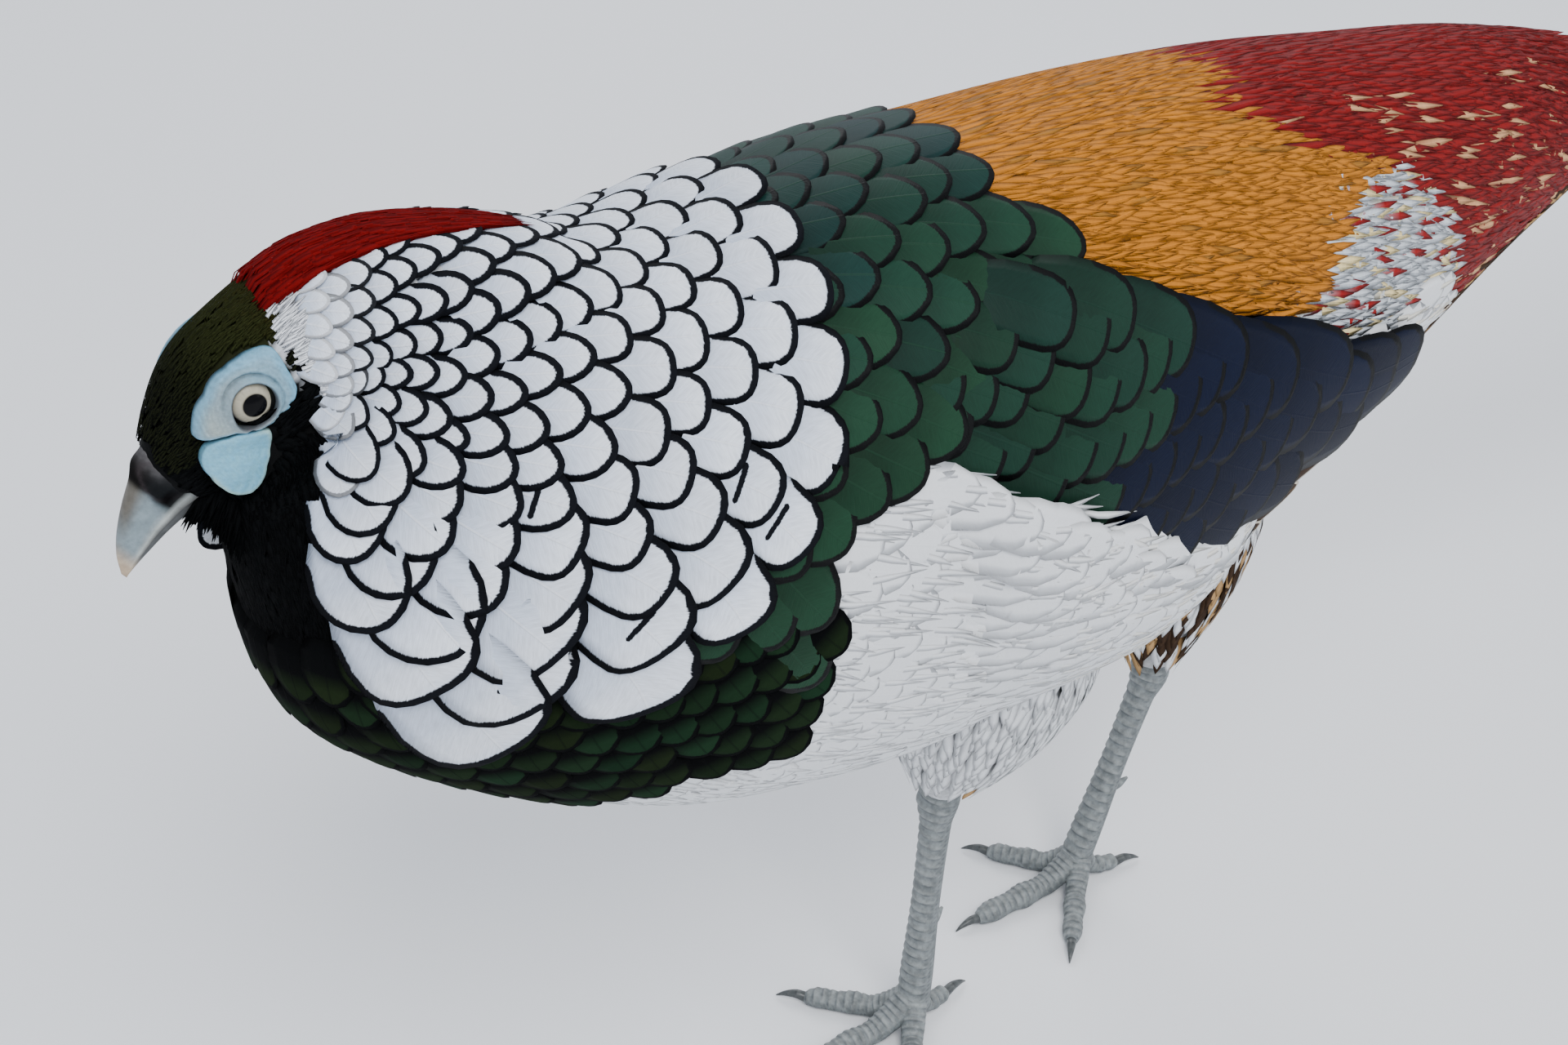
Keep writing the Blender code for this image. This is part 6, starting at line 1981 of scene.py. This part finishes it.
def bare_material(name, roughness, grain_scale, grain_depth, tone=0.25, **sockets):
    material, nodes, shader = new_material(name, roughness, **sockets)
    place = nodes.add("TexCoord").outputs["Object"]
    grain = nodes.noise(place, grain_scale, 3.0, 0.6)
    shade = nodes.range(grain, 0.25, 0.75, 1 - tone, 1 + tone)
    nodes.put(shader.inputs["Base Color"],
              nodes.mix(1.0, nodes.attribute("Col"), nodes.join(shade, shade, shade), "MULTIPLY"))
    nodes.bump(shader, grain, 0.7, grain_depth)
    matt = nodes.attribute("mark", "Fac")
    specular = shader.inputs["Specular IOR Level"].default_value
    nodes.put(shader.inputs["Roughness"], nodes.range(matt, 0.0, 1.0, roughness, 0.95))
    nodes.put(shader.inputs["Specular IOR Level"], nodes.range(matt, 0.0, 1.0, specular, 0.02))
    return material


skin_material = bare_material("bare_skin", 0.55, 1600, 0.00012, 0.10, Subsurface_Weight=0.05,
                              Subsurface_Scale=0.002)
eye_material = bare_material("eye", 0.25, 900, 0.0, 0.05, Specular_IOR_Level=0.05, Coat_Weight=0.12,
                             Coat_Roughness=0.02)
horn_material = bare_material("horn", 0.45, 500, 0.00008, 0.16, Specular_IOR_Level=0.20)
claw_material = bare_material("claw", 0.35, 700, 0.00008, 0.2)
leg_material = bare_material("leg", 0.6, 420, 0.0002, 0.35)


def tail_shading():
    """Pale feathers with dark bars across both webs and fine wavy lines between them."""
    material, nodes, shader = new_material("tail", 0.5)
    across, along, _ = nodes.split(nodes.uv("Vane"))
    away = nodes.math("ABSOLUTE", across)
    sweep = nodes.math("SUBTRACT", along, nodes.math("MULTIPLY", away, 0.45))
    waver = nodes.noise(nodes.join(nodes.math("MULTIPLY", across, 1.1), nodes.math("MULTIPLY", along, 1.1)),
                        1.0, 3.0, 0.6)
    bent = nodes.math("ADD", sweep, nodes.math("MULTIPLY", nodes.math("SUBTRACT", waver, 0.5), 0.9))
    wave = nodes.math("SINE", nodes.math("MULTIPLY", bent, 2 * math.pi / BAR_SPACING))
    bars = nodes.range(wave, 0.35, 0.62)
    ripples = nodes.noise(nodes.join(nodes.math("MULTIPLY", across, 2.6),
                                     nodes.math("MULTIPLY", bent, 7.5)), 1.0, 4.0, 0.65)
    lines = nodes.range(ripples, 0.52, 0.60)
    dark = nodes.math("MAXIMUM", bars, nodes.math("MULTIPLY", lines, 0.75))
    barbs = nodes.noise(nodes.join(nodes.math("MULTIPLY", away, 1.0), nodes.math("MULTIPLY", sweep, 24.0)),
                        1.6, 2.0, 0.6)
    shaft = nodes.range(away, 0.07, 0.03)
    base = nodes.mix(dark, nodes.attribute("Col"), TAIL_BAR)
    base = nodes.mix(shaft, base, nodes.attribute("Shaft"))
    nodes.put(shader.inputs["Base Color"], base)
    nodes.bump(shader, nodes.math("ADD", barbs, shaft), 0.5, 0.0003)
    return material


tail_material = tail_shading()


ground = build_skin()
cape = build_cape(ground)
green = Coat("green_scales", glossy)
build_mantle(green)
breast = Coat("breast", velvety)
build_breast(breast)
wings = Coat("wing_feathers", glossy)
primaries = Coat("primaries", matte)
for wing_side in (1, -1):
    build_wing(wings, primaries, wing_side)
rump = Halves("rump", silky)
build_rump(rump)
bellies = Coat("belly_left", downy), Coat("belly_right", downy)
build_down(bellies, rump)
build_belly(bellies)
thigh_coat = Coat("thigh_feathers", downy)
build_thighs(thigh_coat)
velvet = Halves("velvet", velvety)
crown = Coat("crown", velvety)
build_velvet(velvet, crown, ground)
build_chin(velvet, ground)
build_nape(cape, ground)
build_stray(cape)
build_crest(velvet, ground)
build_coverts(rump, thigh_coat)
for coat in (cape, green, breast, wings, primaries, rump, *bellies, thigh_coat, velvet, crown):
    coat.build()
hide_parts("wing_left", "wing_right")
build_tail()
build_bill()
for side, word in ((1, "left"), (-1, "right")):
    build_face(side, word)
    build_eye(side, word)
    build_leg(word)


CAMERA_PLACE = np.array((0.3510, 0.3694, 0.4700))
CAMERA_AXES = np.array(((-0.8291, 0.5583, 0.0298), (-0.2709, -0.4478, 0.8521), (0.4891, 0.6984, 0.5225)))
SENSOR = 36.0
FOCAL_PIXELS, FRAME_PIXELS = 2500, 1920


def build_camera():
    data = bpy.data.cameras.new("camera")
    data.sensor_width = SENSOR
    data.lens = FOCAL_PIXELS / FRAME_PIXELS * SENSOR
    data.clip_start, data.clip_end = 0.01, 50
    camera = bpy.data.objects.new("camera", data)
    bpy.context.scene.collection.objects.link(camera)
    turn = Matrix(CAMERA_AXES.tolist()).transposed().to_4x4()
    camera.matrix_world = Matrix.Translation(Vector(CAMERA_PLACE + SHIFT)) @ turn
    bpy.context.scene.camera = camera


def build_stage():
    mesh = bpy.data.meshes.new("floor")
    mesh.from_pydata([(-8, -8, 0), (8, -8, 0), (8, 8, 0), (-8, 8, 0)], [], [(0, 1, 2, 3)])
    floor = bpy.data.objects.new("floor", mesh)
    bpy.context.scene.collection.objects.link(floor)
    material, _, shader = new_material("floor", 0.9)
    shader.inputs["Base Color"].default_value = (0.87, 0.88, 0.90, 1)
    mesh.materials.append(material)
    world = bpy.data.worlds.new("studio")
    world.use_nodes = True
    world.node_tree.nodes["Background"].inputs["Color"].default_value = (0.86, 0.91, 1.0, 1)
    world.node_tree.nodes["Background"].inputs["Strength"].default_value = 0.95
    bpy.context.scene.world = world
    for name, place, size, power in (
        ("key", (0.9, 1.2, 1.8), 1.0, 32),
        ("fill", (-0.9, 1.4, 1.2), 1.4, 9),
        ("rim", (-0.4, -1.5, 1.6), 1.2, 14),
    ):
        data = bpy.data.lights.new(name, "AREA")
        data.energy, data.size = power, size
        lamp = bpy.data.objects.new(name, data)
        lamp.location = place
        lamp.rotation_euler = (Vector((0.3, 0, 0.2)) - Vector(place)).to_track_quat("-Z", "Y").to_euler()
        bpy.context.scene.collection.objects.link(lamp)


build_camera()
build_stage()
